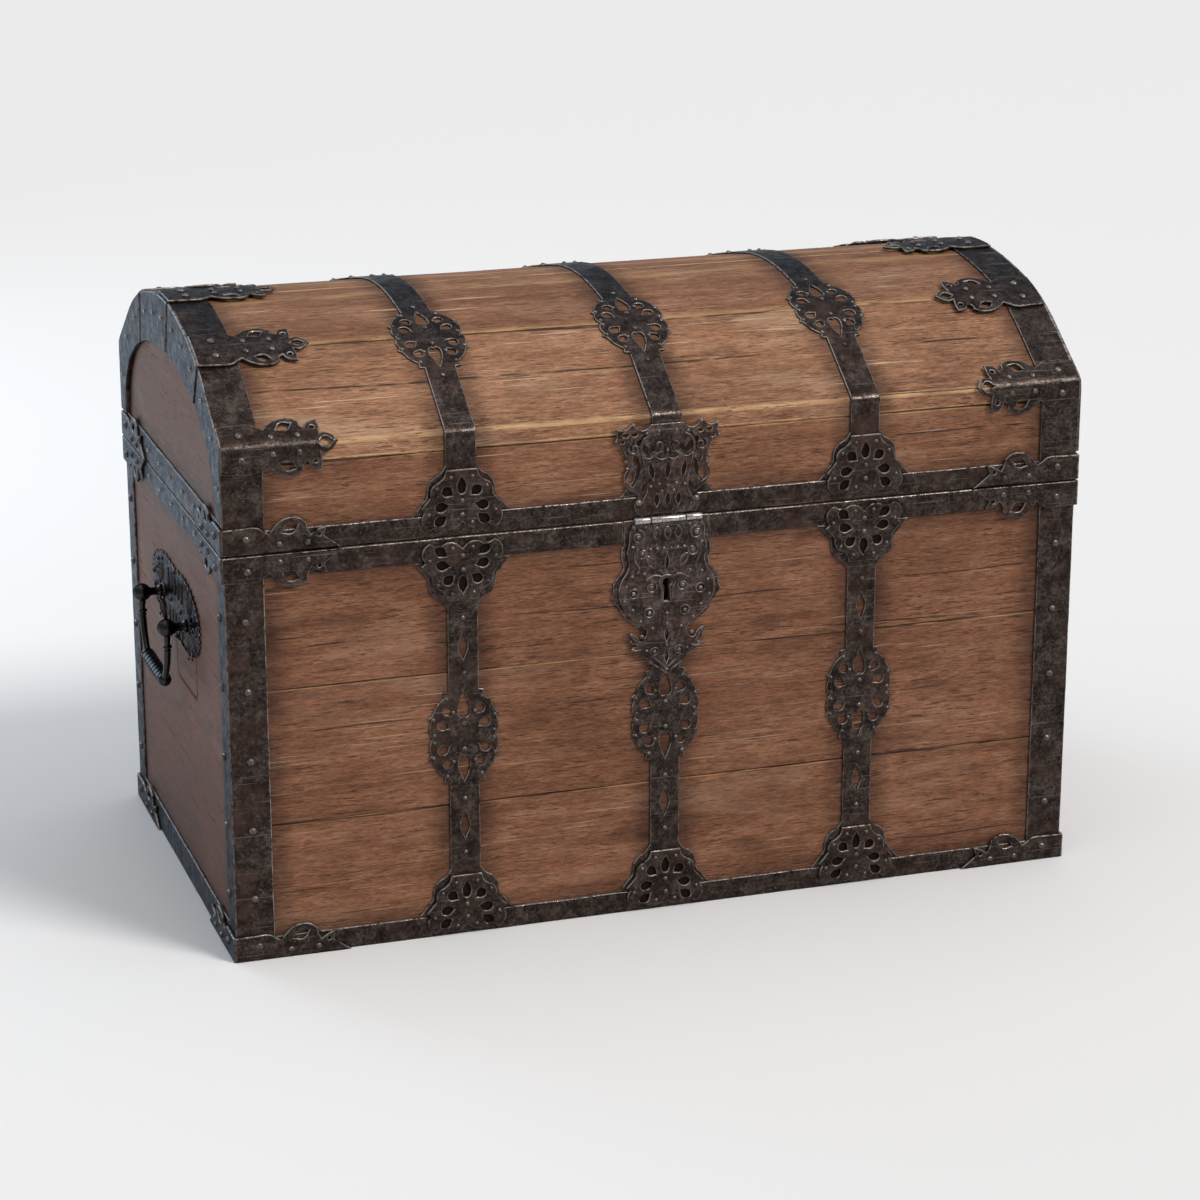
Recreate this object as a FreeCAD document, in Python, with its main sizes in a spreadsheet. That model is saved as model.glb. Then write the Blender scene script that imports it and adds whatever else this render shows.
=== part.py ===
import FreeCAD, Part
import math
import os
from types import SimpleNamespace
from FreeCAD import Placement, Rotation, Vector

# A domed coffer: a boarded chest and its arched lid, bound with pierced iron.
# Millimetres. The origin is on the floor under the middle of the chest, +X is to
# the right, -Y is the front with the lock, and +Z is up.

SIZES = {
    # the chest over its iron bands
    "chest_width": 1000,
    "chest_depth": 552,
    "base_height": 465,
    "lid_riser_height": 119,
    "lid_joint_height": 199,
    "lid_joint_offset": 154,
    "lid_rise": 226,
    "lid_gap": 0.4,
    # iron stock
    "band_thickness": 2.5,
    "mount_thickness": 2,
    "flap_thickness": 3,
    # boards
    "board_thickness": 22,
    "bottom_thickness": 20,
    "rabbet_depth": 11,
    "lid_board_thickness": 20,
    "stave_seat_height": 97,
    # bands
    "corner_leg_front": 44,
    "corner_leg_end": 36,
    "rim_band_height": 26,
    "lid_end_rim_height": 34,
    "foot_band_height": 25,
    "end_foot_band_height": 35,
    "lid_end_band_width": 46,
    "gable_arch_radius": 275,
    "gable_arch_drop": 105,
    # straps and their rosettes
    "strap_width": 38,
    "strap_spacing": 236,
    "strap_flare_width": 110,
    "strap_flare_length": 62,
    "rosette_width": 81,
    "rosette_length": 104,
    "rosette_rise": 3,
    "almond_length": 30,
    "almond_width": 7,
    # palmettes, lid leaves and corner mounts
    "palmette_width": 100,
    "palmette_length": 72,
    "palmette_margin": 4,
    "leaf_length": 128,
    "leaf_width": 76,
    "corner_mount_height": 38,
    # barrels of the hinges and of the hasp
    "barrel_radius": 4.2,
    "barrel_clearance": 0.3,
    "pin_radius": 2.2,
    "running_clearance": 0.05,
    "knuckle_middle": 40,
    "knuckle_side": 19,
    "knuckle_gap": 0.5,
    "hinge_leaf_length": 72,
    # hasp and lock
    "hasp_plate_width": 126,
    "hasp_plate_height": 106,
    "flap_width": 112,
    "flap_length": 182,
    "lock_plate_width": 130,
    "lock_plate_length": 130,
    "keyhole_drop": 96,
    "keyhole_length": 27,
    "keyhole_width": 8.4,
    "staple_drop": 26,
    "staple_height": 18,
    "staple_width": 8,
    "staple_depth": 18,
    "staple_clearance": 2.5,
    "bolt_height": 7,
    "bolt_thickness": 6,
    "bolt_length": 54,
    "bolt_clearance": 0.3,
    "eye_clearance": 1,
    "lock_skin": 6,
    "lock_case_left": 72,
    "lock_case_right": 42,
    "lock_case_top": 16,
    "lock_case_bottom": 104,
    "lock_case_wall": 2,
    "guide_length": 26,
    "spring_length": 24,
    "spring_thickness": 1,
    # drop handles
    "handle_drop": 137,
    "handle_plate_length": 274,
    "handle_plate_height": 94,
    "handle_plate_rise": 6.5,
    "clinch_thickness": 2,
    "post_spacing": 144,
    "post_reach": 25,
    "post_stem_radius": 4.5,
    "post_ball_radius": 10.5,
    "bail_tang_thickness": 4,
    "bail_tang_width": 8,
    "bail_tang_clearance": 0.2,
    "bail_drop": 69,
    "bail_arm_radius": 4,
    "grip_spacing": 96,
    "grip_side": 10,
    "grip_knob_radius": 8,
    "grip_knob_length": 16,
}
BOARDS_PER_SIDE = 3
GRIP_QUARTER_TURNS = 6
GRIP_STEPS_PER_QUARTER = 2

doc = FreeCAD.newDocument("coffer_chest")
sheet = doc.addObject("Spreadsheet::Sheet", "sizes")
for row, (alias, value) in enumerate(SIZES.items(), start=1):
    sheet.set(f"A{row}", alias)
    sheet.set(f"B{row}", str(value))
    sheet.setAlias(f"B{row}", alias)
doc.recompute()
s = SimpleNamespace(**{alias: float(sheet.get(alias)) for alias in SIZES})
nodes = []

# Places that many pieces share, as formulas for the document.
HALF_WIDTH = "(sizes.chest_width / 2)"
HALF_DEPTH = "(sizes.chest_depth / 2)"
WOOD_X = f"({HALF_WIDTH} - sizes.band_thickness)"
WOOD_Y = f"({HALF_DEPTH} - sizes.band_thickness)"
INSIDE_X = f"({WOOD_X} - sizes.board_thickness)"
INSIDE_Y = f"({WOOD_Y} - sizes.board_thickness)"
RABBET_X = f"({INSIDE_X} + sizes.rabbet_depth)"
RABBET_Y = f"({INSIDE_Y} + sizes.rabbet_depth)"
BAND_X = f"({HALF_WIDTH} - sizes.corner_leg_front)"
BAND_Y = f"({HALF_DEPTH} - sizes.corner_leg_end)"
RIM = "sizes.base_height"
LID_BOTTOM = "(sizes.base_height + sizes.lid_gap)"
LID_BAND_X = f"({HALF_WIDTH} - sizes.lid_end_band_width)"

# The same places as numbers, for the shapes that are drawn.
half_width = s.chest_width / 2
half_depth = s.chest_depth / 2
lid_bottom = s.base_height + s.lid_gap
barrel_y = half_depth + s.barrel_clearance + s.barrel_radius
barrel_z = s.base_height + s.lid_gap / 2
barrel_room = s.barrel_radius + 2 * s.barrel_clearance
handle_z = s.base_height - s.handle_drop
strap_places = (-s.strap_spacing, 0, s.strap_spacing)
side_strap_places = (-s.strap_spacing, s.strap_spacing)

X_AXIS = Vector(1, 0, 0)
Y_AXIS = Vector(0, 1, 0)
Z_AXIS = Vector(0, 0, 1)
CENTRE = Vector(0, 0, 0)


# Document objects

def node(label, item):
    """Name a finished sub-part, which its file is then called after."""
    item.Label = label
    nodes.append(item)
    return item


def box(low, high):
    """A box between two corners, each given as three formulas."""
    item = doc.addObject("Part::Box", "box")
    for side, axis, start, end in zip(("Length", "Width", "Height"), "xyz", low, high):
        item.setExpression(side, f"({end}) - ({start})")
        item.setExpression(f"Placement.Base.{axis}", f"{start}")
    return item


def group(*items):
    item = doc.addObject("Part::Compound", "group")
    item.Links = list(items)
    return item


def fuse(*items):
    item = doc.addObject("Part::MultiFuse", "fuse")
    item.Shapes = list(items)
    return item


def cut(base, *tools):
    item = doc.addObject("Part::Cut", "cut")
    item.Base = base
    item.Tool = tools[0] if len(tools) == 1 else group(*tools)
    return item


def drawn(*solids):
    """A document object for solids that are drawn with outlines and wrapped round the lid."""
    item = doc.addObject("Part::Feature", "drawn")
    shape = solids[0] if len(solids) == 1 else Part.makeCompound(list(solids))
    item.Shape = shape
    item.Placement = shape.Placement
    return item


# Outlines and plates

def outline(points):
    """A closed wire, anticlockwise, through (x, y, bulge); the bulge rounds the side that follows."""
    edges = []
    for (x, y, bulge), (next_x, next_y, _) in zip(points, points[1:] + points[:1]):
        start = Vector(x, y, 0)
        end = Vector(next_x, next_y, 0)
        if bulge:
            middle = (start + end) / 2 + Vector(next_y - y, x - next_x, 0) * (bulge / 2)
            edges.append(Part.Arc(start, middle, end).toShape())
        else:
            edges.append(Part.makeLine(start, end))
    return Part.Wire(edges)


def mirrored(right):
    """An outline that is alike on both sides of x = 0, from its right side, bottom to top."""
    left = []
    for index in reversed(range(len(right))):
        x, y, _ = right[index]
        if x:
            left.append((-x, y, right[index - 1][2] if index else 0))
    return right + left


def scaled(points, across, along):
    return [(x * across, y * along, bulge) for x, y, bulge in points]


def teardrop(centre, angle, start, length, width):
    """A wedge-shaped piercing: its point lies at a distance from the centre, its broad end further out."""
    turn = math.radians(angle)
    points = []
    for along, across in ((0, 0), (0.78, -0.5), (1, 0), (0.78, 0.5)):
        out = start + along * length
        aside = across * width
        x = centre[0] + out * math.cos(turn) - aside * math.sin(turn)
        y = centre[1] + out * math.sin(turn) + aside * math.cos(turn)
        points.append((x, y, 0))
    return points


def almond(x, y, length, width):
    """An upright slot with a point at each end."""
    return shifted(mirrored([(0, -length / 2, 0), (width / 2, 0, 0), (0, length / 2, 0)]), x, y)


def shifted(points, x, y):
    return [(px + x, py + y, bulge) for px, py, bulge in points]


def plate(points, holes, thickness):
    """A flat plate on the XY plane with its piercings."""
    wires = [outline(points)] + [outline(hole) for hole in holes]
    return Part.makeFace(wires, "Part::FaceMakerBullseye").extrude(Z_AXIS * thickness)


def on_front(shape, x, z, lift):
    """Stand a flat plate against the front, its back face a lift outside the band surface."""
    placed = shape.copy()
    placed.Placement = Placement(Vector(x, -half_depth - lift, z), Rotation(X_AXIS, 90)) * shape.Placement
    return placed


def to_back(shape):
    return shape.mirror(CENTRE, Y_AXIS)


def to_right(shape):
    return shape.mirror(CENTRE, X_AXIS)


def at_x(shape, x):
    moved = shape.copy()
    moved.translate(X_AXIS * x)
    return moved


# Chest boards: three to each side, rabbeted at the corners and under the sides for the bottom

def board_level(index):
    return f"({RIM} * {index} / {BOARDS_PER_SIDE})"


def bottom_space():
    return box((f"-{RABBET_X}", f"-{RABBET_Y}", "0"), (RABBET_X, RABBET_Y, "sizes.bottom_thickness"))


def long_board(index, side):
    """A front board (side -1) or back board (side 1) with a rabbet for the ends at each corner."""
    near = f"{side} * {INSIDE_Y}"
    far = f"{side} * {WOOD_Y}"
    rabbet = f"{side} * {RABBET_Y}"
    low_y, high_y = (far, near) if side < 0 else (near, far)
    cut_low, cut_high = (rabbet, near) if side < 0 else (near, rabbet)
    low_z = board_level(index)
    high_z = board_level(index + 1)
    board = box((f"-{WOOD_X}", low_y, low_z), (WOOD_X, high_y, high_z))
    tools = [
        box((f"-{WOOD_X}", cut_low, low_z), (f"-{INSIDE_X}", cut_high, high_z)),
        box((INSIDE_X, cut_low, low_z), (WOOD_X, cut_high, high_z)),
    ]
    if index == 0:
        tools.append(bottom_space())
    return cut(board, *tools)


def end_boards(side):
    near = f"{side} * {INSIDE_X}"
    far = f"{side} * {WOOD_X}"
    low_x, high_x = (far, near) if side < 0 else (near, far)
    boards = []
    for index in range(BOARDS_PER_SIDE):
        board = box(
            (low_x, f"-{RABBET_Y}", board_level(index)), (high_x, RABBET_Y, board_level(index + 1))
        )
        boards.append(cut(board, bottom_space()) if index == 0 else board)
    return cut(group(*boards), drawn(*stems()))


def bottom_boards():
    boards = []
    for index in range(BOARDS_PER_SIDE):
        low_y = f"{RABBET_Y} * {2 * index / BOARDS_PER_SIDE - 1}"
        high_y = f"{RABBET_Y} * {2 * (index + 1) / BOARDS_PER_SIDE - 1}"
        boards.append(box((f"-{RABBET_X}", low_y, "0"), (RABBET_X, high_y, "sizes.bottom_thickness")))
    return group(*boards)


# Lock: a mortised case behind the upper front board, with a bolt that slides through the staple

BOLT_LOW = f"({RIM} - sizes.staple_drop - sizes.bolt_height / 2)"
BOLT_HIGH = f"({RIM} - sizes.staple_drop + sizes.bolt_height / 2)"
CASE_FRONT = f"(sizes.lock_skin - {WOOD_Y})"
CASE_BACK = f"(-{INSIDE_Y})"
CASE_LOW = f"({RIM} - sizes.lock_case_bottom)"
CASE_HIGH = f"({RIM} - sizes.lock_case_top)"
CHANNEL_X = "(sizes.staple_width / 2 + sizes.staple_clearance)"
CHANNEL_Y = f"(sizes.staple_depth + sizes.staple_clearance - {HALF_DEPTH})"
CHANNEL_LOW = f"({RIM} - sizes.staple_drop - sizes.staple_height)"
BOLT_FRONT = f"({CASE_FRONT} + sizes.bolt_clearance)"
BOLT_BACK = f"({BOLT_FRONT} + sizes.bolt_thickness)"
BOLT_TIP = f"(-{CHANNEL_X})"


def staple_channel():
    """The open-topped notch that the staple lifts out of, through lock plate and board."""
    return box((f"-{CHANNEL_X}", f"-{HALF_DEPTH}", CHANNEL_LOW), (CHANNEL_X, CHANNEL_Y, RIM))


def lock_recess():
    return box(
        ("-sizes.lock_case_left", CASE_FRONT, CASE_LOW), ("sizes.lock_case_right", CASE_BACK, CASE_HIGH)
    )


def keyhole():
    """A round bow over a slot that widens downwards, from the slot's foot at y = 0."""
    foot = s.keyhole_width / 2
    waist = 0.33 * s.keyhole_width
    shoulder = 0.63 * s.keyhole_length
    bow = (s.keyhole_length - shoulder) / waist
    return [(-foot, 0, 0), (foot, 0, 0), (waist, shoulder, bow), (-waist, shoulder, 0)]


def key_channel():
    """The slot in the board behind the keyhole."""
    foot = f"({RIM} - sizes.keyhole_drop)"
    return box(
        ("-sizes.keyhole_width / 2", f"-{WOOD_Y}", foot),
        ("sizes.keyhole_width / 2", CASE_FRONT, f"{foot} + sizes.keyhole_length"),
    )


def lock_case():
    wall = "sizes.lock_case_wall"
    inside = box(
        (f"{wall} - sizes.lock_case_left", CASE_FRONT, f"{CASE_LOW} + {wall}"),
        (f"sizes.lock_case_right - {wall}", f"{CASE_BACK} - {wall}", f"{CASE_HIGH} - {wall}"),
    )
    notch = box((f"-{CHANNEL_X}", CASE_FRONT, f"{CASE_HIGH} - {wall}"), (CHANNEL_X, CHANNEL_Y, CASE_HIGH))
    shell = cut(lock_recess(), inside, notch)
    guide_end = f"({BOLT_TIP} - sizes.bolt_clearance)"
    guide_start = f"({guide_end} - sizes.guide_length)"
    upper = box(
        (guide_start, BOLT_FRONT, f"{BOLT_HIGH} + sizes.bolt_clearance"),
        (guide_end, f"{CASE_BACK} - {wall}", f"{CASE_HIGH} - {wall}"),
    )
    lower = box(
        (f"{BOLT_TIP} - sizes.bolt_length", BOLT_FRONT, f"{BOLT_LOW} - sizes.bolt_clearance - {wall}"),
        (guide_end, f"{CASE_BACK} - {wall}", f"{BOLT_LOW} - sizes.bolt_clearance"),
    )
    return fuse(shell, upper, lower)


def lock_bolt():
    """A flat bar with a talon notch under its tail, where the key bit takes hold."""
    bar = box((f"{BOLT_TIP} - sizes.bolt_length", BOLT_FRONT, BOLT_LOW), (BOLT_TIP, BOLT_BACK, BOLT_HIGH))
    talon = box(
        (f"{BOLT_TIP} - sizes.bolt_length * 0.8", BOLT_FRONT, BOLT_LOW),
        (f"{BOLT_TIP} - sizes.bolt_length * 0.65", BOLT_BACK, f"{BOLT_LOW} + sizes.bolt_height / 3"),
    )
    return cut(bar, talon)


def lock_spring():
    """A bowed leaf that bears on the bolt from the top of the case."""
    top = s.base_height - s.lock_case_top - s.lock_case_wall
    bolt_top = s.base_height - s.staple_drop + s.bolt_height / 2
    rise = top - bolt_top - s.bolt_clearance
    end = -(s.staple_width / 2 + s.staple_clearance) - 2 * s.bolt_clearance - s.guide_length
    start = end - s.spring_length
    middle = (start + end) / 2
    leaf = plate(
        [
            (start, top - s.spring_thickness, 0), (middle, top - rise, 0), (end, top - s.spring_thickness, 0),
            (end, top, 0), (middle, top - rise + s.spring_thickness, 0), (start, top, 0),
        ],
        [], s.bolt_thickness,
    )
    front = half_depth - s.band_thickness - s.lock_skin - s.bolt_clearance - s.bolt_thickness
    leaf.Placement = Placement(Vector(0, -front, 0), Rotation(X_AXIS, 90))
    return drawn(leaf)


LOCK_PLATE_TOP_SHARE = 0.77


def lock_plate():
    half = s.lock_plate_width / 2
    length = s.lock_plate_length
    top = LOCK_PLATE_TOP_SHARE * half
    edge = [(0.62, 0.10), (0.90, 0.27), (1, 0.34), (0.93, 0.41), (0.80, 0.65)]
    right = [(s.strap_width / 2, 0, 0)] + [(x * half, y * length, 0) for x, y in edge]
    right += [(top, length - s.rim_band_height, 0), (top, length, 0)]
    hole = shifted(keyhole(), 0, length - s.keyhole_drop)
    solid = plate(mirrored(right), [hole], s.band_thickness)
    return cut(drawn(on_front(solid, 0, s.base_height - length, -s.band_thickness)), staple_channel())


LOCK_PLATE_EDGE = f"(sizes.lock_plate_width / 2 * {LOCK_PLATE_TOP_SHARE})"


# Straight bands of the chest

def front_rim_bands():
    low = f"{RIM} - sizes.rim_band_height"
    left = box((f"-{BAND_X}", f"-{HALF_DEPTH}", low), (f"-{LOCK_PLATE_EDGE}", f"-{WOOD_Y}", RIM))
    right = box((LOCK_PLATE_EDGE, f"-{HALF_DEPTH}", low), (BAND_X, f"-{WOOD_Y}", RIM))
    return group(left, right)


def long_band(side, low, high, reach):
    low_y, high_y = (f"-{HALF_DEPTH}", f"-{WOOD_Y}") if side < 0 else (WOOD_Y, HALF_DEPTH)
    return box((f"-{reach}", low_y, low), (reach, high_y, high))


def end_bands(low, high, reach):
    left = box((f"-{HALF_WIDTH}", f"-{reach}", low), (f"-{WOOD_X}", reach, high))
    right = box((WOOD_X, f"-{reach}", low), (HALF_WIDTH, reach, high))
    return group(left, right)


def corner_angles(side):
    """The iron angles over the two front (side -1) or back (side 1) corners."""
    angles = []
    for hand in (-1, 1):
        corner = (f"{hand} * {HALF_WIDTH}", f"{side} * {HALF_DEPTH}")
        reach = (f"{hand} * {BAND_X}", f"{side} * {BAND_Y}")
        wood = (f"{hand} * {WOOD_X}", f"{side} * {WOOD_Y}")
        outer_x = (corner[0], reach[0]) if hand < 0 else (reach[0], corner[0])
        outer_y = (corner[1], reach[1]) if side < 0 else (reach[1], corner[1])
        inner_x = (wood[0], reach[0]) if hand < 0 else (reach[0], wood[0])
        inner_y = (wood[1], reach[1]) if side < 0 else (reach[1], wood[1])
        outer = box((outer_x[0], outer_y[0], "0"), (outer_x[1], outer_y[1], RIM))
        inner = box((inner_x[0], inner_y[0], "0"), (inner_x[1], inner_y[1], RIM))
        angles.append(cut(outer, inner))
    return group(*angles)


# Straps with pierced rosettes, half-way between the foot band and the rim band

rosette_z = (s.foot_band_height + s.base_height - s.rim_band_height) / 2 + s.rosette_rise
ALMOND_SHARE = 0.53

def rosette_side():
    """The right edge of a rosette about its centre, from the strap below to the strap above."""
    lobe = [(0.80, 0.76), (0.93, 0.54), (1, 0.47), (0.93, 0.38), (0.96, 0.18)]
    upper = [(x * s.rosette_width / 2, y * s.rosette_length / 2, 0) for x, y in lobe]
    lower = [(x, -y, 0) for x, y, _ in upper]
    waist = (0.88 * s.rosette_width / 2, 0, 0)
    foot = (s.strap_width / 2, -s.rosette_length / 2, 0)
    head = (s.strap_width / 2, s.rosette_length / 2, 0)
    return [foot] + lower + [waist] + upper[::-1] + [head]


def rosette_holes():
    """Eight wedge piercings round the centre and a pointed slot towards each end of the strap."""
    unit = s.rosette_width / 81
    holes = []
    for angle, start, length, width in ((32, 21, 14, 10), (58, 28, 13, 9.5)):
        for turn in (angle, 180 - angle, 180 + angle, -angle):
            holes.append(teardrop((0, 0), turn, start * unit, length * unit, width * unit))
    tip = s.rosette_length / 2
    for turn, place in ((-90, tip), (90, -tip)):
        holes.append(teardrop((0, place), turn, 0, 0.5 * tip, 0.14 * s.rosette_width))
    return holes


def flare_side(upwards):
    """The right edge of a strap's wide foot, which lies behind a palmette."""
    half = s.strap_flare_width / 2
    length = s.strap_flare_length
    side = [(half, 0, 0), (0.69 * half, 0.5 * length, 0), (s.strap_width / 2, length, 0)]
    return side if upwards else [(x, -y, 0) for x, y, _ in reversed(side)]


def front_strap(low, high, flared_top):
    """A strap of the front with its rosette; the sides' outline starts at the strap's foot."""
    centre = rosette_z - low
    tip = s.rosette_length / 2
    slot_distance = tip + ALMOND_SHARE * (centre - s.strap_flare_length - tip)
    right = flare_side(True) + shifted(rosette_side(), 0, centre)
    if flared_top:
        right += shifted(flare_side(False), 0, high - low)
    else:
        right.append((s.strap_width / 2, high - low, 0))
    holes = [shifted(hole, 0, centre) for hole in rosette_holes()]
    for way in (-1, 1):
        slot_y = centre + way * slot_distance
        if slot_y + s.almond_length < high - low:
            holes.append(almond(0, slot_y, s.almond_length, s.almond_width))
    return plate(mirrored(right), holes, s.band_thickness)


def front_straps():
    low = s.foot_band_height
    side = front_strap(low, s.base_height - s.rim_band_height, True)
    middle = front_strap(low, s.base_height - s.lock_plate_length, False)
    for label, shape, x in (
        ("front_strap_left", side, -s.strap_spacing),
        ("front_strap_centre", middle, 0),
        ("front_strap_right", side, s.strap_spacing),
    ):
        node(label, drawn(on_front(shape, x, low, -s.band_thickness)))


def back_straps():
    straps = []
    for x in ("-sizes.strap_spacing", "0", "sizes.strap_spacing"):
        straps.append(box(
            (f"{x} - sizes.strap_width / 2", WOOD_Y, "sizes.foot_band_height"),
            (f"{x} + sizes.strap_width / 2", HALF_DEPTH, f"{RIM} - sizes.rim_band_height"),
        ))
    return group(*straps)


# Palmettes: the pierced fans that cover where straps and bands cross

def palmette():
    """A fan that stands on its neck at y = 0, with scalloped lobes at its head."""
    edge = [
        (0.60, 0.22), (0.72, 0.28), (0.78, 0.46), (1, 0.62), (0.90, 0.68), (0.96, 0.86), (0.78, 1),
        (0.52, 0.93), (0.30, 1), (0, 0.88),
    ]
    right = [(s.strap_width / 2, 0, 0)]
    right += [(x * s.palmette_width / 2, y * s.palmette_length, 0) for x, y in edge]
    unit = s.palmette_width / 100
    heart = (0, 0.53 * s.palmette_length)
    holes = [teardrop(heart, -90, 13 * unit, 19 * unit, 11 * unit)]
    for angle, start, length, width in ((-37, 16, 13, 11), (10, 19, 15, 10), (38, 27, 15, 10)):
        for turn in (angle, 180 - angle):
            holes.append(teardrop(heart, turn, start * unit, length * unit, width * unit))
    return plate(mirrored(right), holes, s.mount_thickness)


def upside_down(shape):
    return shape.mirror(CENTRE, Y_AXIS)


def front_palmettes():
    upright = palmette()
    turned = upside_down(upright)
    upper_z = s.base_height - s.palmette_margin - s.palmette_length
    lower_z = s.palmette_length + s.palmette_margin
    upper = [on_front(upright, x, upper_z, 0) for x in side_strap_places]
    lower = [on_front(turned, x, lower_z, 0) for x in strap_places]
    return drawn(*upper, *lower)


def lid_palmettes():
    turned = upside_down(palmette())
    neck_z = lid_bottom + s.palmette_margin + s.palmette_length
    return drawn(*[on_front(turned, x, neck_z, 0) for x in side_strap_places])


# Corner mounts: half leaves that fold round each corner beside the rim and the floor

def leaf_side(scale_across):
    """The right edge of a leaf from its tab at y = 0 to its tip."""
    return scaled(
        [
            (0.79, 0, 0), (0.79, 0.33, 0), (0.60, 0.39, 0), (0.97, 0.56, 0), (0.96, 0.71, 0), (0.62, 0.76, 0),
            (0.76, 0.87, 0), (0, 1, 0),
        ],
        scale_across, s.leaf_length,
    )


def corner_mount():
    """Both half leaves of the front left corner, their straight edge on z = 0."""
    edge = leaf_side(s.corner_mount_height)
    half_leaf = [(along, across, 0) for across, along, _ in reversed(edge)]
    half_leaf[-1] = (-s.mount_thickness, half_leaf[-1][1], 0)
    half_leaf.append((-s.mount_thickness, 0, 0))
    front = plate(half_leaf, [], s.mount_thickness)
    end = front.mirror(CENTRE, X_AXIS)
    front.Placement = Placement(Vector(-half_width, -half_depth, 0), Rotation(X_AXIS, 90))
    end.Placement = Placement(
        Vector(-half_width, -half_depth, 0), Rotation(Z_AXIS, -90) * Rotation(X_AXIS, 90)
    )
    return front.fuse(end).removeSplitter()


def four_corners(shape):
    left = [shape, to_back(shape)]
    return drawn(*left, *[to_right(item) for item in left])


def raised(shape, z):
    moved = shape.copy()
    moved.translate(Z_AXIS * z)
    return moved


# The lid: a riser and two flat staves to each side, folded at a crease, a joint and the ridge

low_slope = math.atan2(s.lid_joint_height - s.lid_riser_height, half_depth - s.lid_joint_offset)
high_slope = math.atan2(s.lid_rise - s.lid_joint_height, s.lid_joint_offset)
crease = Vector(0, -half_depth, s.base_height + s.lid_riser_height)
joint = Vector(0, -s.lid_joint_offset, s.base_height + s.lid_joint_height)
ridge = Vector(0, 0, s.base_height + s.lid_rise)
joint_angle = math.degrees(low_slope + high_slope) / 2
wood_end = half_width - s.band_thickness
wood_offset = -s.band_thickness
inside_offset = wood_offset - s.lid_board_thickness


def grown(fold, slope_before, slope_after, offset):
    """A fold's place when both of its faces move outwards by an offset."""
    middle = (slope_before + slope_after) / 2
    reach = offset / math.cos((slope_before - slope_after) / 2)
    return fold + Vector(0, -math.sin(middle), math.cos(middle)) * reach


def front_folds(offset):
    """The crease, joint and ridge of the surface at an offset from the face of the bands."""
    return [
        grown(crease, math.pi / 2, low_slope, offset),
        grown(joint, low_slope, high_slope, offset),
        grown(ridge, high_slope, -high_slope, offset),
    ]


def lid_block(offset, low, start, end):
    """The lid's full section at an offset, between two x places and above a height."""
    front = front_folds(offset)
    front.insert(0, Vector(0, front[0].y, low))
    back = [Vector(0, -point.y, point.z) for point in reversed(front[:-1])]
    corners = [point + X_AXIS * start for point in front + back]
    return Part.Face(Part.makePolygon(corners + corners[:1])).extrude(X_AXIS * (end - start))


def lid_skin(inside, outside, low, start, end):
    """The layer between two offsets, open below."""
    return lid_block(outside, low, start, end).cut(lid_block(inside, low - 1, start - 1, end + 1))


def on_fold(shape, fold, angle):
    """Turn a flat shape to lie on a fold of the lid, at an angle from level towards the front."""
    placed = shape.copy()
    placed.Placement = Placement(fold, Rotation(X_AXIS, angle)) * shape.Placement
    return placed


def through(points, holes, depth):
    """A plate on the XY plane that reaches a depth to both sides, for cutting across a fold."""
    block = plate(points, holes, 2 * depth)
    block.translate(Z_AXIS * -depth)
    return block


def lid_wedge(points):
    """A block along the lid with the given corners in the YZ plane."""
    corners = [Vector(-wood_end, point.y, point.z) for point in points]
    return Part.Face(Part.makePolygon(corners + corners[:1])).extrude(X_AXIS * (2 * wood_end))


def lid_boards():
    """Risers, and two staves to each side with a mitre at the joint and at the ridge."""
    arch = lid_skin(inside_offset, wood_offset, lid_bottom, -wood_end, wood_end)
    seat = s.base_height + s.stave_seat_height
    inner_joint = front_folds(inside_offset - s.lid_board_thickness)[1]
    outer_joint = front_folds(s.lid_board_thickness)[1]
    hollow = Vector(0, inner_joint.y, seat)
    outside = Vector(0, -s.chest_depth, seat)
    riser = [hollow, outside, Vector(0, outside.y, lid_bottom), Vector(0, hollow.y, lid_bottom)]
    lower = [hollow, outside, Vector(0, outside.y, outer_joint.z), outer_joint, inner_joint]
    upper = [inner_joint, outer_joint, Vector(0, 0, ridge.z + s.lid_rise), Vector(0, 0, inner_joint.z)]
    for name, corners in (("riser", riser), ("lower_stave", lower), ("upper_stave", upper)):
        board = arch.common(lid_wedge(corners)).Solids[0]
        node(f"lid_front_{name}", drawn(board))
        node(f"lid_back_{name}", drawn(to_back(board)))


def lid_gables():
    gable = lid_block(inside_offset, lid_bottom, -wood_end, -wood_end + s.lid_board_thickness)
    node("lid_left_gable", drawn(gable))
    node("lid_right_gable", drawn(to_right(gable)))


def lid_end_bands():
    """A band bent over the lid's edge, with the arched frame that it forms on the gable."""
    strip = lid_skin(wood_offset, 0, lid_bottom, -half_width, -half_width + s.lid_end_band_width)
    frame = lid_block(wood_offset, lid_bottom + s.lid_end_rim_height, -half_width, -wood_end)
    opening = Part.makeCylinder(
        s.gable_arch_radius, s.chest_depth,
        Vector(-half_width - half_depth, 0, s.base_height - s.gable_arch_drop), X_AXIS,
    )
    band = strip.fuse(frame.cut(opening)).removeSplitter()
    return drawn(band, to_right(band))


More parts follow.
